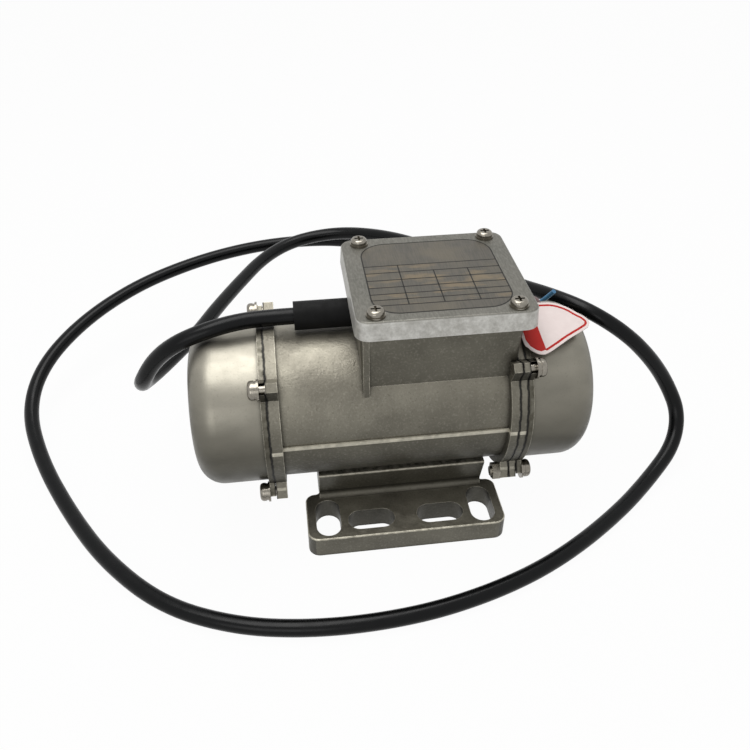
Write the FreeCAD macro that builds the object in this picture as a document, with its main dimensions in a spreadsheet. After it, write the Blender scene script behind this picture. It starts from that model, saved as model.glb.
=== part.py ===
import FreeCAD, Part
import math
import os
import re
import Sketcher
from FreeCAD import Placement, Rotation, Vector

# A small vibration motor: a cast housing on a slotted foot, two domed end covers over
# eccentric weights, and a terminal box on top with a free cable.
# Millimetres. X runs along the shaft, Z is up, and the origin is the centre of the foot's base.

os.makedirs("parts", exist_ok=True)
doc = FreeCAD.newDocument("VibrationMotor")

# Driving dimensions
SIZES = [
    ("axisHeight", 62.0, "shaft axis above the foot's base"),
    ("barrelRadius", 39.6, "outside of the barrel"),
    ("boreRadius", 35.0, "inside of the barrel"),
    ("leftFace", -66.2, "joint face of the left ring"),
    ("rightFace", 55.2, "joint face of the right ring"),
    ("ringThickness", 5.5, "left cast end ring along X"),
    ("rightRing", 4.2, "right cast end ring along X"),
    ("ringRadius", 43.5, "outside of rings and cover flanges"),
    ("earRadius", 51.5, "tip of an ear from the axis"),
    ("earBase", 13.0, "width of an ear at its root"),
    ("earTip", 4.5, "width of an ear's flat tip"),
    ("earAngle", 45.0, "first ear from the horizontal, degrees"),
    ("screwCircle", 47.3, "radius of the cover screws' circle"),
    ("ledgeHeight", 2.0, "height of the parting ledge along the barrel"),
    ("ledgeDepth", 1.0, "how far the ledge stands out"),
    ("footLength", 103.8, "foot along X"),
    ("footWidth", 109.8, "foot along Y"),
    ("footThickness", 12.0, "foot plate"),
    ("footCorner", 6.0, "front and back corners of the foot"),
    ("footEdge", 0.9, "soft top edge of the foot"),
    ("waistWidth", 45.0, "foot between its front and back lobes"),
    ("waistInset", 7.9, "waist and web in from the foot's ends"),
    ("lobeCorner", 5.0, "inner corner of a lobe"),
    ("waistCorner", 2.4, "corner between a lobe and the waist"),
    ("webWidth", 60.0, "web across, at its top edge"),
    ("webFoot", 47.0, "web across, at the foot plate"),
    ("webDrop", 29.8, "web's shoulder below the shaft axis"),
    ("webFillet", 3.0, "hollow between web and foot plate"),
    ("slotWidth", 12.8, "width of the mounting slots"),
    ("slotLength", 24.6, "end to end length of the crosswise slots"),
    ("longSlotSide", 11.2, "centre of a lengthwise slot in from the foot's side"),
    ("crossSlotEnd", 11.2, "centre of a crosswise slot in from the foot's end"),
    ("crossSlotSide", 14.6, "centre of a crosswise slot in from the foot's side"),
    ("middleBridge", 11.8, "metal between the two lengthwise slots of a side"),
    ("slotBridge", 3.8, "metal between a lengthwise and a crosswise slot"),
    ("lidX", 19.2, "centre of the terminal box lid"),
    ("lidY", 6.3, "centre of the terminal box lid"),
    ("lidLength", 86.4, "lid along X, at its lower edge"),
    ("lidWidth", 80.4, "lid along Y, at its lower edge"),
    ("lidDraft", 3.5, "draft of the lid's sides, degrees"),
    ("lidThickness", 9.7, "lid's full height"),
    ("lidPlate", 3.5, "thickness of the lid's top"),
    ("lidRim", 7.0, "width of the lid's rim"),
    ("lidCorner", 7.0, "upright corners of the lid"),
    ("lidEdge", 1.3, "soft top edge of the lid"),
    ("lidScrewEnd", 10.0, "lid screws in from the lid's ends"),
    ("lidScrewSide", 6.6, "lid screws in from the lid's sides"),
    ("boxOverhang", 2.9, "lid beyond the box walls, front and back"),
    ("boxLeftOverhang", 2.1, "lid beyond the box's left wall"),
    ("boxRightOverhang", 6.6, "lid beyond the box's right wall"),
    ("boxWall", 3.0, "wall of the terminal box"),
    ("boxRise", 0.8, "floor of the box's inside above the barrel"),
    ("boxDepth", 15.4, "box walls above the inside floor"),
    ("boxBase", 4.4, "floor of the box where it hangs over the barrel"),
    ("boxFootRise", 20.0, "foot of the front wall above the shaft axis, inside the barrel"),
    ("boxCorner", 3.0, "upright corners of the box"),
    ("bossSize", 11.0, "corner boss for a lid screw, each way"),
    ("boxDraft", 3.3, "draft of the box walls, degrees"),
    ("ribThickness", 3.0, "rib at the box's front left corner"),
    ("ribFoot", 32.6, "front of the left rib at its foot from the middle"),
    ("gasketThickness", 0.4, "all joint gaskets"),
    ("gasketInset", 0.3, "gaskets in from the joint's outer edge"),
    ("gasketWidth", 7.2, "round gaskets, radial"),
    ("bearingRadius", 17.5, "outside of a ball bearing"),
    ("bearingBore", 7.5, "inside of a ball bearing"),
    ("bearingWidth", 11.0, "ball bearing along X"),
    ("bearingLip", 3.0, "shoulder behind a bearing, radial"),
    ("raceThickness", 2.6, "inner and outer bearing ring, radial"),
    ("ballRadius", 2.9, "bearing ball"),
    ("innerRaceClearance", 0.3, "ball to the turning inner ring"),
    ("outerRaceClearance", 0.05, "ball to the outer ring"),
    ("bearingInset", 2.7, "left bearing in from the left joint face"),
    ("hubWall", 5.0, "metal round a bearing seat"),
    ("wallThickness", 13.0, "cast bearing wall at the left"),
    ("shieldThickness", 3.6, "eared disc of the bearing shield"),
    ("spigotLength", 4.0, "shield's spigot in the bore"),
    ("seatClearance", 0.05, "radial clearance of seated round pieces"),
    ("coverLength", 37.5, "cover from joint to end"),
    ("coverRadius", 41.15, "outside of a cover"),
    ("coverWall", 2.2, "cover wall"),
    ("coverRound", 13.0, "rounded end of a cover"),
    ("coverFlange", 2.7, "eared flange of a cover"),
    ("slotOpening", 5.6, "width of the open slots in the cover ears"),
    ("coverScrewRadius", 2.5, "shank of a cover screw"),
    ("coverHeadRadius", 4.7, "head of a cover screw"),
    ("coverHeadHeight", 3.1, "head of a cover screw"),
    ("lidScrewRadius", 2.0, "shank of a lid screw"),
    ("lidHeadRadius", 4.15, "head of a lid screw"),
    ("lidHeadHeight", 2.7, "head of a lid screw"),
    ("lidScrewDepth", 8.0, "lid screw's reach into its boss"),
    ("recessWidth", 1.1, "arm of the cross recess"),
    ("washerThickness", 1.0, "flat washer"),
    ("springThickness", 1.2, "spring washer"),
    ("washerLip", 0.5, "flat washer beyond the head"),
    ("threadClearance", 0.05, "radial gap between a screw and its thread"),
    ("holeClearance", 0.3, "radial gap between a screw and a clear hole"),
    ("nutFlats", 8.0, "width across the flats of a cover nut"),
    ("nutHeight", 4.0, "cover nut"),
    ("threadProud", 1.0, "screw end beyond its nut"),
    ("statorLength", 50.0, "stator core along X"),
    ("statorOffset", 2.5, "stator and rotor core right of the barrel's middle"),
    ("statorInner", 19.6, "inside of the stator core"),
    ("statorSlots", 12.0, "slots in the stator core"),
    ("slotFloor", 30.5, "outer end of a stator slot from the axis"),
    ("slotTangential", 5.0, "width of a stator slot"),
    ("toothTip", 2.4, "iron closing a stator slot at the bore"),
    ("coilReach", 14.0, "winding overhang beyond the core"),
    ("coilClearance", 0.2, "winding to iron"),
    ("coilRound", 3.0, "bevelled rims of the winding heads"),
    ("airGap", 0.4, "rotor to stator, radial"),
    ("cageLength", 7.0, "rotor end ring along X"),
    ("cageWidth", 6.5, "rotor end ring, radial"),
    ("cageInset", 0.6, "rotor end ring below the core"),
    ("shaftCollar", 1.5, "shaft shoulder beyond the bearing seat"),
    ("rotorBore", 8.5, "shaft radius in the rotor core"),
    ("weightBore", 6.0, "shaft radius at the weights"),
    ("shaftEndGap", 6.0, "shaft end to the inside of a cover"),
    ("weightRadius", 33.5, "outside of an eccentric weight"),
    ("weightThickness", 9.0, "eccentric weight along X"),
    ("weightGap", 0.8, "between neighbouring weights and collars"),
    ("weightHub", 12.0, "hub radius of a weight"),
    ("lugHeight", 19.0, "top of the clamp lug from the axis"),
    ("lugWidth", 15.0, "clamp lug across"),
    ("splitWidth", 1.6, "saw cut of the clamp lug"),
    ("clampHeight", 14.3, "clamp screw from the axis"),
    ("clampRadius", 2.0, "shank of a clamp screw"),
    ("clampHead", 3.5, "head radius of a clamp screw"),
    ("clampHeadHeight", 4.0, "head of a clamp screw"),
    ("keyWidth", 4.0, "shaft key"),
    ("circlipThickness", 1.0, "shaft circlip"),
    ("circlipReach", 2.4, "circlip beyond the shaft"),
    ("circlipGroove", 0.5, "depth of a circlip's groove"),
    ("cableRadius", 4.2, "cable"),
    ("coreRadius", 1.3, "insulated core of the cable"),
    ("tagTilt", 17.0, "tag's slope to the front, degrees"),
    ("tagReach", 45.0, "tag above the shaft axis"),
    ("tagThickness", 0.5, "card of the tag"),
    ("tagCorner", 3.0, "round corners of the tag"),
    ("sleeveRadius", 7.15, "rubber sleeve"),
    ("sleeveNeck", 5.6, "sleeve where it passes the box wall"),
    ("collarClearance", 0.55, "sleeve's collar to the box floor and lid"),
    ("sleeveFlange", 1.5, "sleeve's collar inside the box"),
    ("sleeveLength", 28.6, "sleeve outside the box wall"),
    ("sleeveOffset", 1.9, "cable exit in front of the lid's centre"),
    ("sleeveTail", 9.0, "cable jacket inside the box"),
    ("wireHole", 5.0, "hole from the box to the windings"),
    ("blockLength", 26.0, "terminal block along X"),
    ("blockWidth", 12.0, "terminal block along Y"),
    ("blockHeight", 10.0, "terminal block"),
    ("blockRight", 8.0, "terminal block right of the lid's centre"),
    ("blockBack", 9.7, "terminal block behind the lid's centre"),
    ("grubRadius", 2.0, "terminal screw"),
    ("grubHeight", 3.0, "terminal screw"),
    ("grubFloor", 4.0, "terminal screws above the block's base"),
    ("capacitorRadius", 8.0, "run capacitor"),
    ("capacitorLength", 36.0, "run capacitor"),
]

sheet = doc.addObject("Spreadsheet::Sheet", "Sizes")
for row, (alias, number, meaning) in enumerate(SIZES, start=1):
    sheet.set("A%d" % row, alias)
    sheet.set("B%d" % row, str(number))
    sheet.set("C%d" % row, meaning)
    sheet.setAlias("B%d" % row, alias)
doc.recompute()
ALIASES = {alias for alias, number, meaning in SIZES}

# Places that follow from the sizes
PLACES = {
    "boxFloor": "(axisHeight + barrelRadius + boxRise)",
    "boxTop": "(boxFloor + boxDepth)",
    "boxUnderside": "(boxFloor - boxBase)",
    "boxFoot": "(axisHeight + boxFootRise)",
    "lidBase": "(boxTop + gasketThickness)",
    "lidTop": "(lidBase + lidThickness)",
    "lidScrewX": "(lidLength / 2 - lidScrewEnd)",
    "lidScrewY": "(lidWidth / 2 - lidScrewSide)",
    "statorX": "((leftFace + rightFace) / 2 + statorOffset)",
    "sleeveY": "(lidY - sleeveOffset)",
    "sleeveHeight": "(boxFloor + boxDepth / 2)",
    "blockX": "(lidX + blockRight)",
    "blockY": "(lidY + blockBack)",
    "plateTop": "(footThickness - axisHeight)",
    "webTop": "(axisHeight - webDrop)",
    "waistEnd": "(footLength / 2 - waistInset)",
    "slotRadius": "(slotWidth / 2)",
    "crossSlotX": "(footLength / 2 - crossSlotEnd)",
    "crossSlotY": "(footWidth / 2 - crossSlotSide)",
    "longSlotY": "(footWidth / 2 - longSlotSide)"}
AXIS_X = Rotation(Vector(0, 1, 0), 90)
AXIS_Y = Rotation(Vector(1, 0, 0), -90)
AXIS_Z = Rotation()


def linked(text):
    """An expression with each place written out and each size name pointed at the sheet."""
    def word(match):
        name = match.group()
        if name in PLACES:
            return linked(PLACES[name])
        return "Sizes." + name if name in ALIASES else name
    return re.sub(r"[A-Za-z_]+", word, text)


def size(name):
    """The present value of one size or place."""
    return float(sheet.evalExpression(linked(name)))


def bind(thing, **properties):
    """Ties properties to expressions; a double underscore stands for a dot."""
    for name, text in properties.items():
        thing.setExpression(name.replace("__", "."), linked(text))


def place(thing, x="0", y="0", z="0", rotation=AXIS_Z):
    """Sets a turn and ties the position to the sheet."""
    thing.Placement = Placement(Vector(0, 0, 0), rotation)
    bind(thing, Placement__Base__x=x, Placement__Base__y=y, Placement__Base__z=z)
    return thing


def cylinder(name, radius, height, x="0", y="0", z="0", rotation=AXIS_X):
    thing = doc.addObject("Part::Cylinder", name)
    bind(thing, Radius=radius, Height=height)
    return place(thing, x, y, z, rotation)


def block(name, length, width, height, x, y, z):
    """A box between X, Y and Z planes, from its low corner."""
    thing = doc.addObject("Part::Box", name)
    bind(thing, Length=length, Width=width, Height=height)
    return place(thing, x, y, z)


def cut(name, base, *tools):
    for number, tool in enumerate(tools):
        result = doc.addObject("Part::Cut", name if number == len(tools) - 1 else name + "Step%d" % number)
        result.Base = base
        result.Tool = tool
        base = result
    return base


def fuse(name, *shapes):
    result = doc.addObject("Part::MultiFuse", name)
    result.Shapes = list(shapes)
    return result


def group(name, *shapes):
    result = doc.addObject("Part::Compound", name)
    result.Links = list(shapes)
    return result


def mirrored(name, thing, normal, **base):
    result = doc.addObject("Part::Mirroring", name)
    result.Source = thing
    result.Normal = normal
    bind(result, **base)
    return result


def four_of(name, thing, x="0", y="0", z="0", across=Vector(1, 0, 0), along=Vector(0, 1, 0)):
    """A piece and its images across two planes through one point."""
    base = dict(Base__x=x, Base__y=y, Base__z=z)
    doc_pair = group(name + "Pair", thing, mirrored(name + "Across", thing, across, **base))
    return group(name, doc_pair, mirrored(name + "Along", doc_pair, along, **base))


def new_body(name):
    return doc.addObject("PartDesign::Body", name)


def origin_part(body, role):
    for feature in body.Origin.OriginFeatures:
        if feature.Role == role:
            return feature


def new_sketch(body, role, name, offset="0"):
    """A sketch on one of the body's own origin planes, moved along the plane's normal."""
    sketch = body.newObject("Sketcher::SketchObject", name)
    sketch.AttachmentSupport = [(origin_part(body, role), "")]
    sketch.MapMode = "FlatFace"
    bind(sketch, AttachmentOffset__Base__z=offset)
    return sketch


def worth(text):
    """The present value of an expression."""
    return float(sheet.evalExpression(linked(text)))


def spot(x, y):
    return Vector(worth(x), worth(y), 0)


def tie(sketch, constraint, text):
    """Adds a dimension and binds it to an expression."""
    number = sketch.addConstraint(constraint)
    sketch.setExpression("Constraints[%d]" % number, linked(text))


def pin(sketch, geometry, position, x, y):
    """Ties a point of the sketch to a place measured from the sketch's origin."""
    for kind, text in (("DistanceX", x), ("DistanceY", y)):
        tie(sketch, Sketcher.Constraint(kind, -1, 1, geometry, position, worth(text)), text)


def outline(sketch, corners):
    """A closed outline of straight lines through the given corners."""
    count = len(corners)
    first = sketch.GeometryCount
    places = [spot(x, y) for x, y in corners]
    for i in range(count):
        sketch.addGeometry(Part.LineSegment(places[i], places[(i + 1) % count]), False)
    for i in range(count):
        following = first + (i + 1) % count
        sketch.addConstraint(Sketcher.Constraint("Coincident", first + i, 2, following, 1))
    for i in range(count):
        pin(sketch, first + i, 1, *corners[i])


def rectangle(sketch, x0, y0, x1, y1):
    outline(sketch, [(x0, y0), (x1, y0), (x1, y1), (x0, y1)])


def rounded_rectangle(sketch, x0, y0, x1, y1, radius):
    """A rectangle with four equal round corners; x0, y0, x1 and y1 need brackets."""
    first = sketch.GeometryCount
    r = worth(radius)
    corners = [(x0, y0, 1, 1), (x1, y0, -1, 1), (x1, y1, -1, -1), (x0, y1, 1, -1)]
    centres = [Vector(worth(x) + r * sx, worth(y) + r * sy, 0) for x, y, sx, sy in corners]
    for i, centre in enumerate(centres):
        start = math.pi + i * math.pi / 2
        round_corner = Part.Circle(centre, Vector(0, 0, 1), r)
        sketch.addGeometry(Part.ArcOfCircle(round_corner, start, start + math.pi / 2), False)
        out = Vector(math.cos(start + math.pi / 2), math.sin(start + math.pi / 2), 0) * r
        sketch.addGeometry(Part.LineSegment(centre + out, centres[(i + 1) % 4] + out), False)
    for i in range(4):
        arc, side, following = first + 2 * i, first + 2 * i + 1, first + (2 * i + 2) % 8
        sketch.addConstraint(Sketcher.Constraint("Tangent", arc, 2, side, 1))
        sketch.addConstraint(Sketcher.Constraint("Tangent", side, 2, following, 1))
        if i:
            sketch.addConstraint(Sketcher.Constraint("Equal", first, arc))
    tie(sketch, Sketcher.Constraint("Radius", first, r), radius)
    pin(sketch, first, 3, "%s + %s" % (x0, radius), "%s + %s" % (y0, radius))
    pin(sketch, first + 4, 3, "%s - %s" % (x1, radius), "%s - %s" % (y1, radius))


def circle(sketch, x, y, radius):
    number = sketch.addGeometry(Part.Circle(spot(x, y), Vector(0, 0, 1), worth(radius)), False)
    tie(sketch, Sketcher.Constraint("Radius", number, worth(radius)), radius)
    pin(sketch, number, 3, x, y)


def slot(sketch, x0, y0, x1, y1, upright):
    """A slot with round ends about two centres, the second further along the sketch's Y or X."""
    low, high = spot(x0, y0), spot(x1, y1)
    radius = worth("slotRadius")
    across = (high - low).normalize().cross(Vector(0, 0, 1)) * radius
    ahead = math.pi / 2 if upright else 0
    ends = []
    for centre, start in ((low, ahead + math.pi / 2), (high, ahead - math.pi / 2)):
        round_end = Part.Circle(centre, Vector(0, 0, 1), radius)
        ends.append(sketch.addGeometry(Part.ArcOfCircle(round_end, start, start + math.pi), False))
    one = sketch.addGeometry(Part.LineSegment(low + across, high + across), False)
    other = sketch.addGeometry(Part.LineSegment(low - across, high - across), False)
    for arc, end, line, line_end in ((ends[0], 2, one, 1), (ends[0], 1, other, 1),
                                     (ends[1], 1, one, 2), (ends[1], 2, other, 2)):
        sketch.addConstraint(Sketcher.Constraint("Tangent", arc, end, line, line_end))
    sketch.addConstraint(Sketcher.Constraint("Equal", ends[0], ends[1]))
    tie(sketch, Sketcher.Constraint("Radius", ends[0], radius), "slotRadius")
    pin(sketch, ends[0], 3, x0, y0)
    pin(sketch, ends[1], 3, x1, y1)


def pad(body, sketch, name, length, midplane=False, backwards=False):
    feature = body.newObject("PartDesign::Pad", name)
    feature.Profile = sketch
    feature.Midplane = midplane
    feature.Reversed = backwards
    bind(feature, Length=length)
    return feature


def pocket(body, sketch, name, length, backwards=False, midplane=False):
    """Cuts the sketch's outline from the body, and checks that metal came away."""
    doc.recompute()
    before = body.Shape.Volume
    feature = body.newObject("PartDesign::Pocket", name)
    feature.Profile = sketch
    feature.Midplane = midplane
    feature.Reversed = backwards
    bind(feature, Length=length)
    doc.recompute()
    if body.Shape.Volume > before - 1e-3:
        raise RuntimeError("the pocket %s cuts nothing" % name)
    return feature


def revolve(body, sketch, name, kind="PartDesign::Revolution"):
    """Turns the sketch's outline about the sketch's horizontal axis."""
    feature = body.newObject(kind, name)
    feature.Profile = sketch
    feature.ReferenceAxis = (sketch, ["H_Axis"])
    feature.Angle = 360
    return feature


def polar(body, sketch, name, count, *originals):
    """Repeats features round the sketch's normal axis."""
    feature = body.newObject("PartDesign::PolarPattern", name)
    feature.Originals = list(originals)
    feature.Axis = (sketch, ["N_Axis"])
    feature.Angle = 360
    feature.Occurrences = count
    body.Tip = feature
    return feature


def fillet(body, name, radius, wanted, kind="PartDesign::Fillet"):
    """Rounds or bevels the edges that the test picks, in the body's own coordinates."""
    doc.recompute()
    base = body.Tip
    names = ["Edge%d" % (i + 1) for i, edge in enumerate(base.Shape.Edges) if wanted(edge)]
    if not names:
        raise RuntimeError("no edge for the fillet %s" % name)
    feature = body.newObject(kind, name)
    feature.Base = (base, names)
    if kind == "PartDesign::Fillet":
        bind(feature, Radius=radius)
    else:
        bind(feature, Size=radius)
    doc.recompute()
    return feature


def near(a, b, room=0.02):
    return abs(a - b) < room


def is_line(edge, direction):
    if len(edge.Vertexes) != 2 or not isinstance(edge.Curve, Part.Line):
        return False
    return (edge.Vertexes[1].Point - edge.Vertexes[0].Point).normalize().cross(direction).Length < 1e-6


def is_ring(edge, x, radius):
    """True for a full or part circle about the X axis."""
    curve = edge.Curve
    if not isinstance(curve, Part.Circle) or abs(abs(curve.Axis.x) - 1) > 1e-6:
        return False
    centred = near(curve.Center.y, 0) and near(curve.Center.z, 0)
    return centred and near(curve.Center.x, x) and near(curve.Radius, radius)


def turned(name, profile):
    """A body turned about the X axis from a profile of (x, radius) corners."""
    body = new_body(name)
    sketch = new_sketch(body, "XZ_Plane", name + "Profile")
    outline(sketch, profile)
    revolve(body, sketch, name + "Turn")
    return body


EAR = [("%s * cos(earAngle) - %s * sin(earAngle)" % (r, w), "%s * sin(earAngle) + %s * cos(earAngle)" % (r, w))
       for r, w in (("earRoot", "(-earBase / 2)"), ("earRadius", "(-earTip / 2)"),
                    ("earRadius", "(earTip / 2)"), ("earRoot", "(earBase / 2)"))]


def add_ears(body, name, x, length, root):
    """Four ears round the X axis, from x to x + length."""
    sketch = new_sketch(body, "YZ_Plane", name + "Outline", x)
    outline(sketch, [(a.replace("earRoot", root), b.replace("earRoot", root)) for a, b in EAR])
    ear = pad(body, sketch, name, length)
    polar(body, sketch, name + "Pattern", 4, ear)


def drill_ears(body, name, x, length, radius):
    """Four holes on the screw circle, from x to x + length."""
    sketch = new_sketch(body, "YZ_Plane", name + "Outline", x)
    circle(sketch, "screwCircle * cos(earAngle)", "screwCircle * sin(earAngle)", radius)
    hole = pocket(body, sketch, name, length, backwards=True)
    polar(body, sketch, name + "Pattern", 4, hole)


# Housing: the barrel with its end rings, ears, foot and terminal box is one casting.
# Its body's own origin lies on the shaft axis.
def make_housing():
    body = new_body("housing")
    place(body, z="axisHeight")
    sketch = new_sketch(body, "XZ_Plane", "BarrelProfile")
    outline(sketch, [
        ("leftFace", "0"), ("leftFace", "ringRadius"), ("leftFace + ringThickness", "ringRadius"),
        ("leftFace + ringThickness", "barrelRadius"), ("rightFace - rightRing", "barrelRadius"),
        ("rightFace - rightRing", "ringRadius"), ("rightFace", "ringRadius"), ("rightFace", "0")])
    revolve(body, sketch, "Barrel")
    add_ears(body, "LeftEar", "leftFace", "ringThickness", "barrelRadius")
    add_ears(body, "RightEar", "rightFace - rightRing", "rightRing", "barrelRadius")

    sketch = new_sketch(body, "YZ_Plane", "LedgeProfile", "leftFace + ringThickness / 2")
    rectangle(sketch, "-barrelRadius - ledgeDepth", "0", "barrelRadius + ledgeDepth", "ledgeHeight")
    pad(body, sketch, "Ledge", "rightFace - leftFace - ringThickness")

    make_foot(body)
    make_terminal_box(body)
    make_bores(body)
    return body


def make_foot(body):
    half_x, half_y, inner = "footLength / 2", "footWidth / 2", "waistWidth / 2"
    sketch = new_sketch(body, "XY_Plane", "FootPlan", "-axisHeight")
    outline(sketch, [
        ("-" + half_x, "-" + half_y), (half_x, "-" + half_y), (half_x, "-" + inner), ("waistEnd", "-" + inner),
        ("waistEnd", inner), (half_x, inner), (half_x, half_y), ("-" + half_x, half_y),
        ("-" + half_x, inner), ("-waistEnd", inner), ("-waistEnd", "-" + inner), ("-" + half_x, "-" + inner)])
    pad(body, sketch, "FootPlate", "footThickness")

    plate_top, upright = size("plateTop"), Vector(0, 0, 1)

    def corner(edge, x, y):
        if not is_line(edge, upright):
            return False
        point = edge.CenterOfMass
        return near(abs(point.x), x) and near(abs(point.y), y) and point.z < plate_top

    ends, sides = size("footLength") / 2, size("footWidth") / 2
    lobe, waist_x = size("waistWidth") / 2, size("waistEnd")
    fillet(body, "FootCorners", "footCorner", lambda e: corner(e, ends, sides))
    fillet(body, "LobeCorners", "lobeCorner", lambda e: corner(e, ends, lobe))
    fillet(body, "WaistCorners", "waistCorner", lambda e: corner(e, waist_x, lobe))
    fillet(body, "FootTopEdge", "footEdge", lambda e: near(e.BoundBox.ZMin, plate_top)
           and near(e.BoundBox.ZMax, plate_top) and abs(e.CenterOfMass.y) > lobe + 0.5)

    # The web leans out from the foot plate to a narrow shoulder under the barrel
    sketch = new_sketch(body, "YZ_Plane", "WebProfile")
    foot, top = "webFoot / 2", "webWidth / 2"
    outline(sketch, [
        ("-" + foot, "plateTop - footEdge"), (foot, "plateTop - footEdge"), (foot, "plateTop"),
        (top, "webTop - axisHeight"), ("-" + top, "webTop - axisHeight"), ("-" + foot, "plateTop")])
    pad(body, sketch, "Web", "2 * waistEnd", midplane=True)
    fillet(body, "WebHollow", "webFillet", lambda e: is_line(e, Vector(1, 0, 0))
           and near(abs(e.CenterOfMass.y), size("webFoot") / 2) and near(e.CenterOfMass.z, plate_top))
    fillet(body, "WebShoulder", "footEdge", lambda e: is_line(e, Vector(1, 0, 0))
           and near(abs(e.CenterOfMass.y), size("webWidth") / 2)
           and near(e.CenterOfMass.z, size("webTop") - size("axisHeight")))

    sketch = new_sketch(body, "XY_Plane", "MountingSlots", "-axisHeight")
    near_end, far_end = "(middleBridge / 2 + slotRadius)", "(crossSlotX - slotWidth - slotBridge)"
    reach = "(slotLength / 2 - slotRadius)"
    for side_y in ("-", ""):
        y = side_y + "longSlotY"
        slot(sketch, near_end, y, far_end, y, upright=False)
        slot(sketch, "-" + far_end, y, "-" + near_end, y, upright=False)
        y = side_y + "crossSlotY"
        for x in ("-crossSlotX", "crossSlotX"):
            slot(sketch, x, "%s - %s" % (y, reach), x, "%s + %s" % (y, reach), upright=True)
    pocket(body, sketch, "SlotPockets", "footThickness + webFillet", backwards=True)


BOX_LEFT = "(lidX - lidLength / 2 + boxLeftOverhang)"
BOX_RIGHT = "(lidX + lidLength / 2 - boxRightOverhang)"
BOX_FRONT = "(lidY - lidWidth / 2 + boxOverhang)"
BOX_BACK = "(lidY + lidWidth / 2 - boxOverhang)"


def make_terminal_box(body):
    sketch = new_sketch(body, "XY_Plane", "BoxPlan", "boxTop - axisHeight")
    rounded_rectangle(sketch, BOX_LEFT, BOX_FRONT, BOX_RIGHT, BOX_BACK, "boxCorner")
    walls = pad(body, sketch, "Box", "boxTop - boxUnderside", backwards=True)
    bind(walls, TaperAngle="-boxDraft")

    # In front the walls run on down to the barrel
    drawn_in = "(boxTop - boxUnderside) * tan(boxDraft)"
    sketch = new_sketch(body, "XY_Plane", "BoxFrontPlan", "boxUnderside - axisHeight")
    rounded_rectangle(sketch, "(%s + %s)" % (BOX_LEFT, drawn_in), "(%s + %s)" % (BOX_FRONT, drawn_in),
                      "(%s - %s)" % (BOX_RIGHT, drawn_in), "(0)", "(boxCorner - %s)" % drawn_in)
    walls = pad(body, sketch, "BoxFront", "boxUnderside - boxFoot", backwards=True)
    bind(walls, TaperAngle="-boxDraft")

    # A thin rib carries the left wall on to the barrel, in front of the front wall
    sketch = new_sketch(body, "YZ_Plane", "RibOutline", BOX_LEFT + " + boxCorner / 2")
    outline(sketch, [
        (BOX_FRONT, "boxTop - axisHeight"), ("-ribFoot", "boxFoot - axisHeight"),
        ("-ribFoot + ribThickness * 2", "boxFoot - axisHeight"),
        (BOX_FRONT + " + ribThickness * 2", "boxTop - axisHeight")])
    pad(body, sketch, "Rib", "ribThickness")

    sketch = new_sketch(body, "XY_Plane", "BoxInside", "boxTop - axisHeight")
    x0, x1 = BOX_LEFT + " + boxWall", BOX_RIGHT + " - boxWall"
    y0, y1 = BOX_FRONT + " + boxWall", BOX_BACK + " - boxWall"
    bx0, bx1 = BOX_LEFT + " + bossSize", BOX_RIGHT + " - bossSize"
    by0, by1 = BOX_FRONT + " + bossSize", BOX_BACK + " - bossSize"
    outline(sketch, [(x0, by0), (bx0, by0), (bx0, y0), (bx1, y0), (bx1, by0), (x1, by0),
                     (x1, by1), (bx1, by1), (bx1, y1), (bx0, y1), (bx0, by1), (x0, by1)])
    pocket(body, sketch, "BoxHollow", "boxDepth")

    sketch = new_sketch(body, "XY_Plane", "LidThreads", "boxTop - axisHeight")
    for side_x in ("- lidScrewX", "+ lidScrewX"):
        for side_y in ("- lidScrewY", "+ lidScrewY"):
            circle(sketch, "lidX " + side_x, "lidY " + side_y, "lidScrewRadius + threadClearance")
    pocket(body, sketch, "LidThreadHoles", "lidScrewDepth + 1")

    sketch = new_sketch(body, "YZ_Plane", "CableHoleOutline", BOX_LEFT + " - 1")
    circle(sketch, "sleeveY", "sleeveHeight - axisHeight", "sleeveNeck + seatClearance")
    pocket(body, sketch, "CableHole", "boxWall + boxCorner + 1", backwards=True)


def make_bores(body):
    """The bearing seat at the left and the stator bore, open at the right."""
    seat_in = "leftFace + bearingInset + bearingWidth"
    wall_in = "leftFace + wallThickness + bearingInset"
    sketch = new_sketch(body, "XZ_Plane", "BoreProfile")
    outline(sketch, [
        ("leftFace - 1", "0"), ("leftFace - 1", "bearingRadius + seatClearance"),
        (seat_in, "bearingRadius + seatClearance"), (seat_in, "bearingRadius - bearingLip"),
        (wall_in, "bearingRadius - bearingLip"), (wall_in, "boreRadius"),
        ("rightFace + 1", "boreRadius"), ("rightFace + 1", "0")])
    doc.recompute()
    before = body.Shape.Volume
    revolve(body, sketch, "Bores", "PartDesign::Groove")
    doc.recompute()
    if body.Shape.Volume > before - 1:
        raise RuntimeError("the bores cut nothing")

    sketch = new_sketch(body, "XY_Plane", "WireHoleOutline", "boxFloor - axisHeight + 1")
    circle(sketch, "statorX + statorLength / 2 + coilReach / 2", "0", "wireHole")
    pocket(body, sketch, "WireHole", "boxFloor - axisHeight - boreRadius + 3")

    drill_ears(body, "LeftThread", "leftFace - 1", "ringThickness + 2", "coverScrewRadius + threadClearance")
    drill_ears(body, "RightThread", "rightFace - rightRing - 1", "rightRing + 2",
               "coverScrewRadius + threadClearance")


# Bearing shield: an eared disc with a spigot in the bore and a hub round the right bearing.
SHIELD_IN = "(rightFace + gasketThickness)"
SHIELD_OUT = "(rightFace + gasketThickness + shieldThickness)"
RIGHT_SEAT = "(rightFace + gasketThickness + shieldThickness - bearingInset - bearingWidth)"


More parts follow.
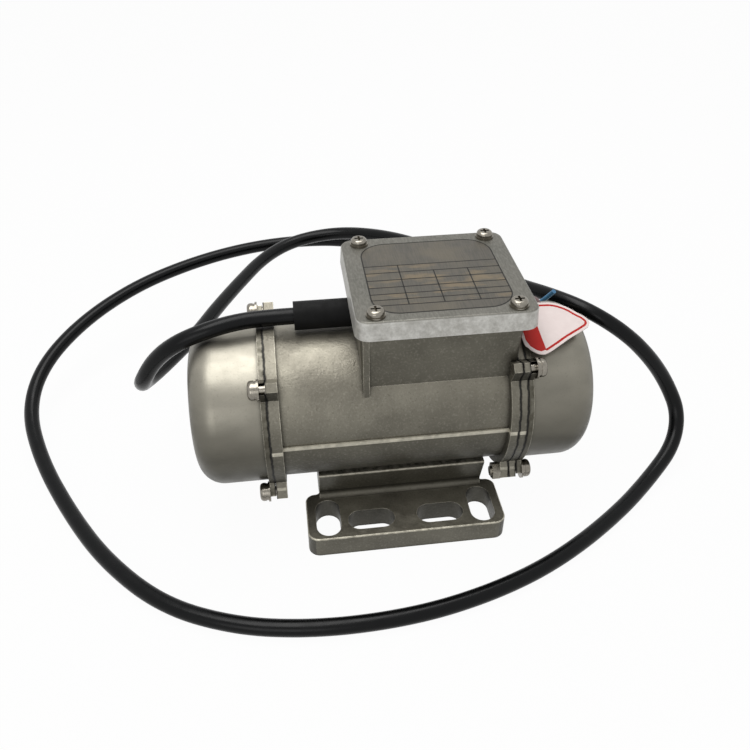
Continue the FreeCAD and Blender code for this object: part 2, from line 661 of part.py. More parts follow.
def make_shield():
    seat_depth = "(bearingWidth + bearingInset)"
    body = turned("bearing_shield", [
        (SHIELD_OUT, "bearingRadius + seatClearance"), (SHIELD_OUT, "ringRadius"),
        (SHIELD_IN, "ringRadius"), (SHIELD_IN, "boreRadius - seatClearance"),
        (SHIELD_IN + " - spigotLength", "boreRadius - seatClearance"),
        (SHIELD_IN + " - spigotLength", "bearingRadius + hubWall"),
        (RIGHT_SEAT + " - 2", "bearingRadius + hubWall"), (RIGHT_SEAT + " - 2", "bearingRadius - bearingLip"),
        (RIGHT_SEAT, "bearingRadius - bearingLip"), (RIGHT_SEAT, "bearingRadius + seatClearance")])
    place(body, z="axisHeight")
    add_ears(body, "ShieldEar", SHIELD_IN, "shieldThickness", "barrelRadius")
    drill_ears(body, "ShieldHole", SHIELD_IN + " - 1", "shieldThickness + 2",
               "coverScrewRadius + holeClearance")
    return body


# Covers: a deep cup, its flange at x = 0 and its rounded end outwards.
def make_cover(name, x, rotation):
    inside = "(coverRadius - coverWall)"
    body = turned(name, [
        ("0", inside), ("0", "ringRadius"), ("coverFlange", "ringRadius"), ("coverFlange", "coverRadius"),
        ("coverLength", "coverRadius"), ("coverLength", "0"), ("coverLength - coverWall", "0"),
        ("coverLength - coverWall", inside)])
    radius, wall, length = size("coverRadius"), size("coverWall"), size("coverLength")
    fillet(body, name + "Round", "coverRound", lambda e: is_ring(e, length, radius))
    fillet(body, name + "InnerRound", "coverRound - coverWall",
           lambda e: is_ring(e, length - wall, radius - wall))
    add_ears(body, name + "Ear", "0", "coverFlange", "(coverRadius - coverWall / 2)")
    sketch = new_sketch(body, "YZ_Plane", name + "SlotOutline")
    half, low, high = "slotOpening / 2", "(screwCircle - coverScrewRadius)", "(earRadius + 1)"
    corners = [(low, "(-%s)" % half), (high, "(-%s)" % half), (high, "(%s)" % half), (low, "(%s)" % half)]
    outline(sketch, [("%s * cos(earAngle) - %s * sin(earAngle)" % c, "%s * sin(earAngle) + %s * cos(earAngle)" % c)
                     for c in corners])
    opening = pocket(body, sketch, name + "Slot", "coverFlange", backwards=True)
    polar(body, sketch, name + "Slots", 4, opening)
    return place(body, x, "0", "axisHeight", rotation)


def make_gasket(name, x):
    outer = "(ringRadius - gasketInset)"
    inner = "(%s - gasketWidth)" % outer
    sheet_ring = turned(name, [("0", inner), ("0", outer), ("gasketThickness", outer), ("gasketThickness", inner)])
    return place(sheet_ring, x, "0", "axisHeight")


# Screws stand at the origin with the underside of the head at z = 0 and the shank below.
def pan_head_screw(name, shank, head, height, reach):
    stem = cylinder(name + "Stem", shank, reach + " + 0.2", z="-(%s)" % reach, rotation=AXIS_Z)
    dome = cylinder(name + "Dome", head, height, rotation=AXIS_Z)
    rounded = doc.addObject("Part::Fillet", name + "Round")
    rounded.Base = dome
    doc.recompute()
    top = size(height)
    rim = [i + 1 for i, e in enumerate(dome.Shape.Edges) if near(e.BoundBox.ZMin, top) and e.Length > 5]
    rounded.Edges = [(i, size(height) * 0.62, size(height) * 0.62) for i in rim]
    arms = []
    for turn, (long_x, long_y) in enumerate((("(%s) * 1.1" % head, "recessWidth"), ("recessWidth", "(%s) * 1.1" % head))):
        arms.append(block(name + "Arm%d" % turn, long_x, long_y, height, "-(%s) / 2" % long_x,
                          "-(%s) / 2" % long_y, "(%s) * 0.45" % height))
    return fuse(name, cut(name + "Head", rounded, fuse(name + "Cross", *arms)), stem)


def ring(name, inner, outer, thickness):
    """A plain ring standing on z = 0."""
    rim = cylinder(name + "Rim", outer, thickness, rotation=AXIS_Z)
    eye = cylinder(name + "Eye", inner, thickness + " + 2", z="-1", rotation=AXIS_Z)
    return cut(name, rim, eye)


def placed_copy(name, thing, x, y, z, rotation=AXIS_Z):
    """A moved copy of a finished piece."""
    copy = doc.addObject("Part::Compound", name)
    copy.Links = [thing]
    return place(copy, x, y, z, rotation)


EAR_Y = "-screwCircle * cos(earAngle)"
EAR_Z = "axisHeight + screwCircle * sin(earAngle)"
EAR_LOW = "axisHeight - screwCircle * sin(earAngle)"


def make_cover_fasteners():
    """Screws, spring washers and flat washers at both ends, and the nuts at the right."""
    left_out = "leftFace - gasketThickness - coverFlange"
    right_out = "(rightFace + shieldThickness + 2 * gasketThickness + coverFlange)"
    stack = "washerThickness + springThickness"
    flat = ring("CoverWasher", "coverScrewRadius + holeClearance", "coverHeadRadius + washerLip", "washerThickness")
    spring = ring("CoverSpring", "coverScrewRadius + holeClearance", "coverHeadRadius - 0.3", "springThickness")
    right_grip = "coverFlange + shieldThickness + 2 * gasketThickness + rightRing + %s" % stack
    ends = (("left", left_out, Rotation(Vector(0, 1, 0), -90), "-1",
             "coverFlange + gasketThickness + ringThickness + %s" % stack),
            ("right", right_out, AXIS_X, "1", right_grip))
    across, along = Vector(0, 1, 0), Vector(0, 0, 1)
    for side, face, rotation, sign, reach in ends:
        screw = pan_head_screw(side.capitalize() + "Screw", "coverScrewRadius", "coverHeadRadius",
                               "coverHeadHeight", reach)
        pieces = [("flat_washers", flat, "0"), ("spring_washers", spring, "washerThickness")]
        if side == "left":
            pieces.append(("cover_screws", screw, stack))
        for label, piece, height in pieces:
            one = placed_copy("%s_%s_one" % (side, label), piece, "%s + %s * (%s)" % (face, sign, height),
                              EAR_Y, EAR_Z, rotation)
            four_of("%s_%s" % (side, label), one, z="axisHeight", across=across, along=along)

    # At the right the upper screws end in the casting, and the lower ones reach through to nuts
    long_screw = pan_head_screw("RightLongScrew", "coverScrewRadius", "coverHeadRadius", "coverHeadHeight",
                                right_grip + " + nutHeight + threadProud")
    head_x = "%s + %s" % (right_out, stack)
    upper = placed_copy("right_upper_one", screw, head_x, EAR_Y, EAR_Z, AXIS_X)
    lower = placed_copy("right_lower_one", long_screw, head_x, EAR_Y, EAR_LOW, AXIS_X)
    group("right_cover_screws", *[p for one in (upper, lower)
                                  for p in (one, mirrored(one.Name + "_back", one, across))])

    hexagon = doc.addObject("Part::Prism", "NutBlank")
    hexagon.Polygon = 6
    bind(hexagon, Circumradius="nutFlats / 2 / cos(30)", Height="nutHeight")
    eye = cylinder("NutEye", "coverScrewRadius + threadClearance", "nutHeight + 2", z="-1", rotation=AXIS_Z)
    nut = placed_copy("cover_nuts_one", cut("Nut", hexagon, eye), "rightFace - rightRing - nutHeight",
                      EAR_Y, EAR_LOW, AXIS_X)
    group("cover_nuts", nut, mirrored("cover_nuts_back", nut, across))


def make_lid():
    body = new_body("terminal_lid")
    place(body, z="lidBase")
    x0, x1 = "(lidX - lidLength / 2)", "(lidX + lidLength / 2)"
    y0, y1 = "(lidY - lidWidth / 2)", "(lidY + lidWidth / 2)"
    sketch = new_sketch(body, "XY_Plane", "LidPlan")
    rounded_rectangle(sketch, x0, y0, x1, y1, "lidCorner")
    sides = pad(body, sketch, "LidBlock", "lidThickness")
    bind(sides, TaperAngle="-lidDraft")
    fillet(body, "LidTopEdge", "lidEdge", lambda e: near(e.BoundBox.ZMin, size("lidThickness")))
    sketch = new_sketch(body, "XY_Plane", "LidInside")
    rim, boss = "lidRim", "(boxOverhang + bossSize)"
    outline(sketch, [
        (x0 + " + " + rim, y0 + " + " + boss), (x0 + " + " + boss, y0 + " + " + boss),
        (x0 + " + " + boss, y0 + " + " + rim), (x1 + " - " + boss, y0 + " + " + rim),
        (x1 + " - " + boss, y0 + " + " + boss), (x1 + " - " + rim, y0 + " + " + boss),
        (x1 + " - " + rim, y1 + " - " + boss), (x1 + " - " + boss, y1 + " - " + boss),
        (x1 + " - " + boss, y1 + " - " + rim), (x0 + " + " + boss, y1 + " - " + rim),
        (x0 + " + " + boss, y1 + " - " + boss), (x0 + " + " + rim, y1 + " - " + boss)])
    pocket(body, sketch, "LidHollow", "lidThickness - lidPlate", backwards=True)
    sketch = new_sketch(body, "XY_Plane", "LidHoles")
    for side_x in ("- lidScrewX", "+ lidScrewX"):
        for side_y in ("- lidScrewY", "+ lidScrewY"):
            circle(sketch, "lidX " + side_x, "lidY " + side_y, "lidScrewRadius + holeClearance")
    pocket(body, sketch, "LidScrewHoles", "lidThickness", backwards=True)


def make_lid_gasket():
    body = new_body("lid_gasket")
    place(body, z="boxTop")
    sketch = new_sketch(body, "XY_Plane", "LidGasketPlan")
    inset = "gasketInset"
    rectangle(sketch, BOX_LEFT + " + " + inset, BOX_FRONT + " + " + inset,
              BOX_RIGHT + " - " + inset, BOX_BACK + " - " + inset)
    x0, x1 = BOX_LEFT + " + boxWall", BOX_RIGHT + " - boxWall"
    y0, y1 = BOX_FRONT + " + boxWall", BOX_BACK + " - boxWall"
    bx0, bx1 = BOX_LEFT + " + bossSize", BOX_RIGHT + " - bossSize"
    by0, by1 = BOX_FRONT + " + bossSize", BOX_BACK + " - bossSize"
    outline(sketch, [(x0, by0), (bx0, by0), (bx0, y0), (bx1, y0), (bx1, by0), (x1, by0),
                     (x1, by1), (bx1, by1), (bx1, y1), (bx0, y1), (bx0, by1), (x0, by1)])
    for side_x in ("- lidScrewX", "+ lidScrewX"):
        for side_y in ("- lidScrewY", "+ lidScrewY"):
            circle(sketch, "lidX " + side_x, "lidY " + side_y, "lidScrewRadius + holeClearance")
    pad(body, sketch, "LidGasketSheet", "gasketThickness")


def make_lid_fasteners():
    x, y = "lidX - lidScrewX", "lidY - lidScrewY"
    reach = "washerThickness + lidThickness + gasketThickness + lidScrewDepth"
    screw = pan_head_screw("LidScrew", "lidScrewRadius", "lidHeadRadius", "lidHeadHeight", reach)
    one = placed_copy("lid_screws_one", screw, x, y, "lidTop + washerThickness")
    four_of("lid_screws", one, x="lidX", y="lidY")
    washer = ring("LidWasher", "lidScrewRadius + holeClearance", "lidHeadRadius + washerLip", "washerThickness")
    one = placed_copy("lid_washers_one", washer, x, y, "lidTop")
    four_of("lid_washers", one, x="lidX", y="lidY")


# Stator: a slotted iron core in the bore and one winding in its slots.
def make_stator():
    core = turned("stator_core", [
        ("statorX - statorLength / 2", "statorInner"), ("statorX - statorLength / 2", "boreRadius - seatClearance"),
        ("statorX + statorLength / 2", "boreRadius - seatClearance"), ("statorX + statorLength / 2", "statorInner")])
    place(core, z="axisHeight")
    sketch = new_sketch(core, "YZ_Plane", "SlotOutline", "statorX - statorLength / 2 - 1")
    rectangle(sketch, "-slotTangential / 2", "statorInner + toothTip", "slotTangential / 2", "slotFloor")
    one = pocket(core, sketch, "StatorSlot", "statorLength + 2", backwards=True)
    polar(core, sketch, "StatorSlotPattern", int(size("statorSlots")), one)

    inner, outer = "statorInner + toothTip", "slotFloor"
    coil = new_body("stator_windings")
    place(coil, z="axisHeight")
    near_end = "(statorX - statorLength / 2 - coilReach)"
    far_end = "(statorX + statorLength / 2 + coilReach)"
    heads = []
    for name, a, b in (("LeftHead", near_end, near_end + " + coilReach - coilClearance"),
                       ("RightHead", far_end + " - coilReach + coilClearance", far_end)):
        sketch = new_sketch(coil, "XZ_Plane", name + "Profile")
        outline(sketch, [(a, inner), (a, outer), (b, outer), (b, inner)])
        heads.append(sketch)
    revolve(coil, heads[0], "LeftHead")
    sketch = new_sketch(coil, "YZ_Plane", "CoilSideOutline", near_end + " + 1")
    rectangle(sketch, "-slotTangential / 2 + coilClearance", inner + " + coilClearance",
              "slotTangential / 2 - coilClearance", outer + " - coilClearance")
    side = pad(coil, sketch, "CoilSide", "statorLength + 2 * coilReach - 2")
    polar(coil, sketch, "CoilSidePattern", int(size("statorSlots")), side)
    revolve(coil, heads[1], "RightHead")
    near_x = size("statorX") - size("statorLength") / 2 - size("coilReach")
    far_x = size("statorX") + size("statorLength") / 2 + size("coilReach")
    ring_radii = (size("statorInner") + size("toothTip"), size("slotFloor"))
    fillet(coil, "CoilRounds", "coilRound",
           lambda e: any(is_ring(e, x, r) for x in (near_x, far_x) for r in ring_radii), "PartDesign::Chamfer")


# Rotor: shaft, iron core, cage end rings, keyed inner weights, circlips and bearing inner rings.
COVER_IN_LEFT = "(leftFace - gasketThickness - coverLength + coverWall)"
COVER_IN_RIGHT = "(rightFace + shieldThickness + 2 * gasketThickness + coverLength - coverWall)"
LEFT_SEAT = "(leftFace + bearingInset)"
ROTOR_LEFT = "(statorX - statorLength / 2)"
ROTOR_RIGHT = "(statorX + statorLength / 2)"


def weight_start(side, place_number):
    """The inboard face of a weight: 0 is the keyed one, 1 the adjustable one."""
    step = "%d * (weightThickness + weightGap)" % place_number
    if side == "left":
        return "(leftFace + bearingInset - coverFlange - weightGap - %s)" % step
    return "(%s + bearingWidth + coverFlange + weightGap + %s)" % (RIGHT_SEAT, step)


def make_shaft():
    left_shoulder, right_shoulder = LEFT_SEAT, "(%s + bearingWidth)" % RIGHT_SEAT
    left_groove = "(%s - weightThickness - weightGap)" % weight_start("left", 1)
    right_groove = "(%s + weightThickness + weightGap)" % weight_start("right", 1)
    neck = "(weightBore - circlipGroove)"
    collar = "(bearingBore + shaftCollar)"
    shaft = turned("shaft", [
        (COVER_IN_LEFT + " + shaftEndGap", "0"), (COVER_IN_LEFT + " + shaftEndGap", "weightBore"),
        (left_groove + " - circlipThickness", "weightBore"), (left_groove + " - circlipThickness", neck),
        (left_groove, neck), (left_groove, "weightBore"),
        (left_shoulder + " - coverFlange", "weightBore"), (left_shoulder + " - coverFlange", "bearingBore"),
        (left_shoulder + " + bearingWidth", "bearingBore"), (left_shoulder + " + bearingWidth", collar),
        (ROTOR_LEFT, collar), (ROTOR_LEFT, "rotorBore"), (ROTOR_RIGHT, "rotorBore"), (ROTOR_RIGHT, "bearingBore + 0.5"),
        (RIGHT_SEAT, "bearingBore + 0.5"), (RIGHT_SEAT, "bearingBore"),
        (right_shoulder + " + coverFlange", "bearingBore"), (right_shoulder + " + coverFlange", "weightBore"),
        (right_groove, "weightBore"), (right_groove, neck), (right_groove + " + circlipThickness", neck),
        (right_groove + " + circlipThickness", "weightBore"), (COVER_IN_RIGHT + " - shaftEndGap", "weightBore"),
        (COVER_IN_RIGHT + " - shaftEndGap", "0")])
    place(shaft, z="axisHeight")
    for side, sign in (("left", "-"), ("right", "+")):
        sketch = new_sketch(shaft, "YZ_Plane", side + "KeywayOutline",
                            "%s %s weightThickness / 2" % (weight_start(side, 0), sign))
        rectangle(sketch, "-keyWidth / 2", "-weightBore - 1", "keyWidth / 2", "-weightBore + keyWidth / 2")
        pocket(shaft, sketch, side + "Keyway", "weightThickness", midplane=True)


def make_rotor():
    core = turned("rotor_core", [
        (ROTOR_LEFT, "rotorBore + seatClearance"), (ROTOR_LEFT, "statorInner - airGap"),
        (ROTOR_RIGHT, "statorInner - airGap"), (ROTOR_RIGHT, "rotorBore + seatClearance")])
    place(core, z="axisHeight")
    outer = "(statorInner - airGap - cageInset)"
    cages = []
    for name, a, b in (("LeftCage", ROTOR_LEFT + " - cageLength", ROTOR_LEFT),
                       ("RightCage", ROTOR_RIGHT, ROTOR_RIGHT + " + cageLength")):
        cage = turned(name, [(a, outer + " - cageWidth"), (a, outer), (b, outer), (b, outer + " - cageWidth")])
        cages.append(place(cage, z="axisHeight"))
    group("rotor_end_rings", *cages)


def make_bearing(side, x):
    """A deep-groove bearing: its left face at x."""
    middle = "(%s + bearingWidth / 2)" % x
    pitch = "((bearingRadius + bearingBore) / 2)"
    inner = turned(side + "_bearing_inner", [
        (x, "bearingBore + seatClearance"), (x, "bearingBore + raceThickness"),
        (x + " + bearingWidth", "bearingBore + raceThickness"), (x + " + bearingWidth", "bearingBore + seatClearance")])
    outer = turned(side + "_bearing_outer", [
        (x, "bearingRadius - raceThickness"), (x, "bearingRadius"), (x + " + bearingWidth", "bearingRadius"),
        (x + " + bearingWidth", "bearingRadius - raceThickness")])
    for body, clearance in ((inner, "innerRaceClearance"), (outer, "outerRaceClearance")):
        place(body, z="axisHeight")
        groove = doc.addObject("Part::Torus", body.Name + "_groove")
        bind(groove, Radius1=pitch, Radius2="ballRadius + " + clearance)
        place(groove, middle, "0", "axisHeight", AXIS_X)
        cut(body.Name + "_raced", body, groove)
    balls = []
    count = 7
    for i in range(count):
        ball = doc.addObject("Part::Sphere", "%sBall%d" % (side, i))
        bind(ball, Radius="ballRadius")
        angle = "%d / %d * 360" % (i, count)
        place(ball, middle, "%s * cos(%s)" % (pitch, angle), "axisHeight + %s * sin(%s)" % (pitch, angle))
        balls.append(ball)
    group(side + "_bearing_balls", *balls)


def make_weight(name, start, sign, keyed):
    """A half disc with a split clamp hub; it hangs below the shaft at rest."""
    body = new_body(name)
    place(body, z="axisHeight")
    x = start if sign > 0 else "(%s - weightThickness)" % start
    bore = "(weightBore + seatClearance)"
    disc = new_sketch(body, "YZ_Plane", name + "DiscOutline", x)
    radius = size("weightRadius")
    rim = Part.Circle(Vector(0, 0, 0), Vector(0, 0, 1), radius)
    arc = disc.addGeometry(Part.ArcOfCircle(rim, math.pi, 2 * math.pi), False)
    chord = disc.addGeometry(Part.LineSegment(Vector(-radius, 0, 0), Vector(radius, 0, 0)), False)
    disc.addConstraint(Sketcher.Constraint("Coincident", arc, 1, chord, 1))
    disc.addConstraint(Sketcher.Constraint("Coincident", arc, 2, chord, 2))
    disc.addConstraint(Sketcher.Constraint("PointOnObject", chord, 1, -1))
    disc.addConstraint(Sketcher.Constraint("PointOnObject", chord, 2, -1))
    tie(disc, Sketcher.Constraint("Radius", arc, radius), "weightRadius")
    pin(disc, arc, 3, "0", "0")
    pad(body, disc, name + "Disc", "weightThickness")
    hub = new_sketch(body, "YZ_Plane", name + "HubOutline", x)
    circle(hub, "0", "0", "weightHub")
    pad(body, hub, name + "Hub", "weightThickness")
    lug = new_sketch(body, "YZ_Plane", name + "LugOutline", x)
    rectangle(lug, "-lugWidth / 2", "0", "lugWidth / 2", "lugHeight")
    pad(body, lug, name + "Lug", "weightThickness")
    opening = new_sketch(body, "YZ_Plane", name + "BoreOutline", x)
    circle(opening, "0", "0", bore)
    pocket(body, opening, name + "Bore", "weightThickness", backwards=True)
    split = new_sketch(body, "YZ_Plane", name + "SplitOutline", x)
    rectangle(split, "-splitWidth / 2", "weightBore / 2", "splitWidth / 2", "lugHeight + 1")
    pocket(body, split, name + "Split", "weightThickness", backwards=True)
    cross = new_sketch(body, "XZ_Plane", name + "ClampOutline")
    circle(cross, x + " + weightThickness / 2", "clampHeight", "clampRadius + threadClearance")
    pocket(body, cross, name + "ClampHole", "lugWidth + 2", midplane=True)
    if keyed:
        keyway = new_sketch(body, "YZ_Plane", name + "KeywayOutline", x)
        rectangle(keyway, "-keyWidth / 2 - seatClearance", "-weightBore - keyWidth / 2 - seatClearance",
                  "keyWidth / 2 + seatClearance", "-weightBore / 2")
        pocket(body, keyway, name + "Keyway", "weightThickness", backwards=True)


def make_clamp_screw(name, start, sign):
    """A socket-head screw across a clamp lug, its head in front."""
    x = "%s %s weightThickness / 2" % (start, "+" if sign > 0 else "-")
    z = "axisHeight + clampHeight"
    stem = cylinder(name + "Stem", "clampRadius", "lugWidth", x, "-lugWidth / 2", z, AXIS_Y)
    head = cylinder(name + "Head", "clampHead", "clampHeadHeight", x, "-lugWidth / 2 - clampHeadHeight", z, AXIS_Y)
    socket = doc.addObject("Part::Prism", name + "Socket")
    socket.Polygon = 6
    bind(socket, Circumradius="clampRadius * 0.9", Height="clampHeadHeight")
    place(socket, x, "-lugWidth / 2 - clampHeadHeight * 1.5", z, AXIS_Y)
    return cut(name, fuse(name + "Blank", stem, head), socket)


def make_weights():
    inner_screws, keys, clips = [], [], []
    for side, sign in (("left", -1), ("right", 1)):
        inner, outer = weight_start(side, 0), weight_start(side, 1)
        make_weight(side + "_inner_weight", inner, sign, keyed=True)
        make_weight(side + "_outer_weight", outer, sign, keyed=False)
        inner_screws.append(make_clamp_screw(side.capitalize() + "InnerClamp", inner, sign))
        make_clamp_screw(side + "_outer_clamp_screw", outer, sign)
        low = inner if sign > 0 else inner + " - weightThickness"
        keys.append(block(side + "Key", "weightThickness - 1", "keyWidth - 2 * seatClearance", "keyWidth - 0.1",
                          low + " + 0.5", "-keyWidth / 2 + seatClearance", "axisHeight - weightBore - keyWidth / 2 + 0.05"))
        clip_x = outer + (" + weightThickness + weightGap" if sign > 0
                          else " - weightThickness - weightGap - circlipThickness")
        clip_x = clip_x + " + 0.05"
        clip = ring(side + "Clip", "weightBore - circlipGroove + 0.05", "weightBore + circlipReach",
                    "circlipThickness - 0.1")
        clips.append(placed_copy(side + "ClipPlaced", clip, clip_x, "0", "axisHeight", AXIS_X))
    group("inner_clamp_screws", *inner_screws)
    group("weight_keys", *keys)
    group("shaft_circlips", *clips)


# The terminal box's contents
def make_box_contents():
    base = "boxFloor"
    x, y = "blockX - blockLength / 2", "blockY - blockWidth / 2"
    body = block("BlockBody", "blockLength", "blockWidth", "blockHeight", x, y, base)
    pits, screws = [], []
    count = 3
    for i in range(count):
        px = "%s + blockLength * (%d + 0.5) / %d" % (x, i, count)
        pits.append(cylinder("Pit%d" % i, "grubRadius + holeClearance", "blockHeight", px, "blockY",
                             "boxFloor + grubFloor", AXIS_Z))
        screws.append(cylinder("Grub%d" % i, "grubRadius", "grubHeight", px, "blockY",
                               "boxFloor + grubFloor", AXIS_Z))
    cut("terminal_block", body, *pits)
    group("terminal_screws", *screws)

    cap_y = "%s + boxWall + capacitorRadius + 1" % BOX_FRONT
    cap_x = "lidX - capacitorLength / 2"
    can = cylinder("CapacitorCan", "capacitorRadius", "capacitorLength", cap_x, cap_y, "boxFloor + capacitorRadius", AXIS_X)
    group("run_capacitor", can)


def make_cable_exit():
    """A rubber sleeve with its neck in the wall, and the cable's jacket through it."""
    inner_face, collar = "(%s + boxWall)" % BOX_LEFT, "(boxDepth / 2 - collarClearance)"
    sleeve = turned("cable_sleeve", [
        (BOX_LEFT + " - sleeveLength", "cableRadius + seatClearance"), (BOX_LEFT + " - sleeveLength", "sleeveRadius"),
        (BOX_LEFT, "sleeveRadius"), (BOX_LEFT, "sleeveNeck"), (inner_face, "sleeveNeck"),
        (inner_face, collar), (inner_face + " + sleeveFlange", collar),
        (inner_face + " + sleeveFlange", "cableRadius + seatClearance")])
    place(sleeve, y="sleeveY", z="sleeveHeight")
    cylinder("cable_entry", "cableRadius", "sleeveLength + boxWall + sleeveTail",
             BOX_LEFT + " - sleeveLength", "sleeveY", "sleeveHeight", AXIS_X)


# The free cable: points of its route, straight runs joined by arcs.
CABLE_ROUTE = [
    (-65, 4.4, 110.1), (-80, 1.6, 110.5), (-95, -1.6, 108.5), (-109, -1.5, 102.5), (-121, 2, 91),
    (-129.8, 6, 75.5), (-132.8, 19.5, 64), (-127, 36.5, 59), (-118.5, 54, 57.5), (-108, 73, 57.5), (-98, 98, 57.5),
    (-84, 129, 57), (-67, 162, 57), (-45, 181, 58.5),
    (-14, 183, 62), (15, 165, 67), (38, 138, 72), (60, 103, 77), (80, 66, 82), (96, 38, 89), (111, 20, 89),
    (130, 12, 78), (147, 10, 61), (160, 8, 43), (167, 0, 27), (161, -13, 14), (143, -28, 6.5),
    (117, -49, 4.4), (82, -72, 4.4), (50, -87, 4.4), (13, -97.5, 4.4), (-21, -101.5, 4.4),
    (-55, -101, 4.4), (-89, -95, 4.4), (-124, -79, 4.4), (-155, -48, 4.4), (-179, -12, 4.4),
    (-201, 28, 8), (-214, 65, 16), (-209, 96, 27), (-188, 129, 36), (-157, 159, 42), (-121, 181, 45),
    (-83, 197, 46), (-45, 204, 46), (-8, 199, 47), (22, 178, 49), (42, 146, 52), (53, 110, 58), (58, 76, 66)]


# Share of the shorter run that an arc takes at each end
RUN_SHARE = 0.45


def rounded_path(points, radii_name):
    """Straight runs joined by tangent arcs as large as the runs allow."""
    edges, start, radii = [], points[0], []
    for before, point, after in zip(points, points[1:], points[2:]):
        back, ahead = before - point, after - point
        shorter = min(back.Length, ahead.Length)
        turn = math.pi - back.getAngle(ahead)
        reach = RUN_SHARE * shorter
        radius = reach / math.tan(turn / 2)
        radii.append(radius)
        first = point + back.normalize() * reach
        last = point + ahead.normalize() * reach
        to_centre = ((first + last) * 0.5 - point).normalize()
        middle = point + to_centre * (math.hypot(radius, reach) - radius)
        edges.append(Part.LineSegment(start, first).toShape())
        edges.append(Part.Arc(first, middle, last).toShape())
        start = last
    edges.append(Part.LineSegment(start, points[-1]).toShape())
    print(radii_name, "radii", " ".join("%.0f" % r for r in radii))
    return Part.Wire(edges)


def tube_along(name, points, radius):
    """A round solid tube along a rounded path."""
    path = rounded_path(points, name)
    start = (points[1] - points[0]).normalize()
    section = Part.Wire([Part.makeCircle(radius, points[0], start)])
    solid = path.makePipeShell([section], True, False)
    thing = doc.addObject("Part::Feature", name)
    thing.Shape = solid
    share = solid.Volume / (math.pi * radius ** 2 * path.Length)
    print(name, "length %.0f mm, volume over section times length %.4f" % (path.Length, share))
    return thing


# The stripped cores come out of the cable's end and run on to the right cover.
BLUE_ROUTE = [(59.58, 76.23, 66), (61.14, 65.63, 68.49), (66, 55.5, 71.5), (73.5, 46.5, 76), (81.5, 39.5, 81),
              (88, 35.5, 87.5), (92, 30.5, 97)]
BROWN_ROUTE = [(56.42, 75.77, 66), (58.12, 64.2, 68.72), (64.5, 50.5, 79.5), (73, 37, 91), (77, 25, 97.8),
               (76.5, 12, 104), (73.5, -2, 105.4), (70, -15, 102.4), (66.5, -25, 97.6)]


def make_cable():
    exit_x = worth(BOX_LEFT + " - sleeveLength")
    first = Vector(exit_x, size("sleeveY"), size("sleeveHeight"))
    tube_along("cable", [first] + [Vector(*p) for p in CABLE_ROUTE], size("cableRadius"))
    tube_along("blue_core", [Vector(*p) for p in BLUE_ROUTE], size("coreRadius"))
    tube_along("brown_core", [Vector(*p) for p in BROWN_ROUTE], size("coreRadius"))


# The card tag lies on the right cover: (along the shaft, up the slope) from the axis
TAG_OUTLINE = [(59, 15.5), (77, 15.3), (87.5, 10), (96.8, 0.2), (67.5, -18), (62.5, -16.5), (58.5, -9)]


def make_tag():
    body = new_body("hang_tag")
    body.Placement = Placement(Vector(0, 0, 0), Rotation(Vector(1, 0, 0), size("tagTilt")))
    bind(body, Placement__Base__z="axisHeight")
    sketch = new_sketch(body, "XY_Plane", "TagOutline", "tagReach")
    outline(sketch, [(str(x), str(y)) for x, y in TAG_OUTLINE])
    pad(body, sketch, "TagCard", "tagThickness")
    fillet(body, "TagCorners", "tagCorner", lambda e: is_line(e, Vector(0, 0, 1)))


make_housing()
make_shield()
make_cover("left_cover", "leftFace - gasketThickness", Rotation(Vector(0, 0, 1), 180))
make_cover("right_cover", "rightFace + shieldThickness + 2 * gasketThickness", AXIS_Z)
make_gasket("left_cover_gasket", "leftFace - gasketThickness")
make_gasket("shield_gasket", "rightFace")
make_gasket("right_cover_gasket", "rightFace + gasketThickness + shieldThickness")
make_cover_fasteners()
make_lid()
make_lid_gasket()
make_lid_fasteners()
make_stator()
make_shaft()
make_rotor()
make_bearing("left", LEFT_SEAT)
make_bearing("right", RIGHT_SEAT)
make_weights()
make_box_contents()
make_cable_exit()
make_cable()
make_tag()

# Pieces whose finished shape is another object's result
FINISHED = {
    "left_bearing_inner": "left_bearing_inner_raced", "left_bearing_outer": "left_bearing_outer_raced",
    "right_bearing_inner": "right_bearing_inner_raced", "right_bearing_outer": "right_bearing_outer_raced"}
NODES = [
    "housing", "bearing_shield", "left_cover", "right_cover", "left_cover_gasket", "shield_gasket",
    "right_cover_gasket", "left_cover_screws", "left_flat_washers", "left_spring_washers",
    "right_cover_screws", "right_flat_washers", "right_spring_washers", "cover_nuts", "terminal_lid",
    "lid_gasket", "lid_screws", "lid_washers", "stator_core", "stator_windings", "shaft", "rotor_core",
    "rotor_end_rings", "left_bearing_inner", "left_bearing_outer", "left_bearing_balls",
    "right_bearing_inner", "right_bearing_outer", "right_bearing_balls", "left_inner_weight",
    "left_outer_weight", "right_inner_weight", "right_outer_weight", "inner_clamp_screws",
    "left_outer_clamp_screw", "right_outer_clamp_screw", "weight_keys", "shaft_circlips",
    "terminal_block", "terminal_screws", "run_capacitor", "cable_sleeve", "cable_entry", "cable", "blue_core",
    "brown_core", "hang_tag"]

doc.recompute()
for thing in doc.Objects:
    if "Invalid" in thing.State or "Error" in thing.State:
        raise RuntimeError("%s is %s" % (thing.Name, thing.State))
for node in NODES:
    thing = doc.getObject(FINISHED.get(node, node))
    thing.Label = node if node not in FINISHED else node + "_finished"
    if thing.Shape.isNull() or not thing.Shape.isValid():
        raise RuntimeError("%s has no valid shape" % node)
    thing.Shape.exportStep("parts/%s.step" % node)
    print(node, len(thing.Shape.Solids), "solids, %.0f mm3" % thing.Shape.Volume)
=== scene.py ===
import math

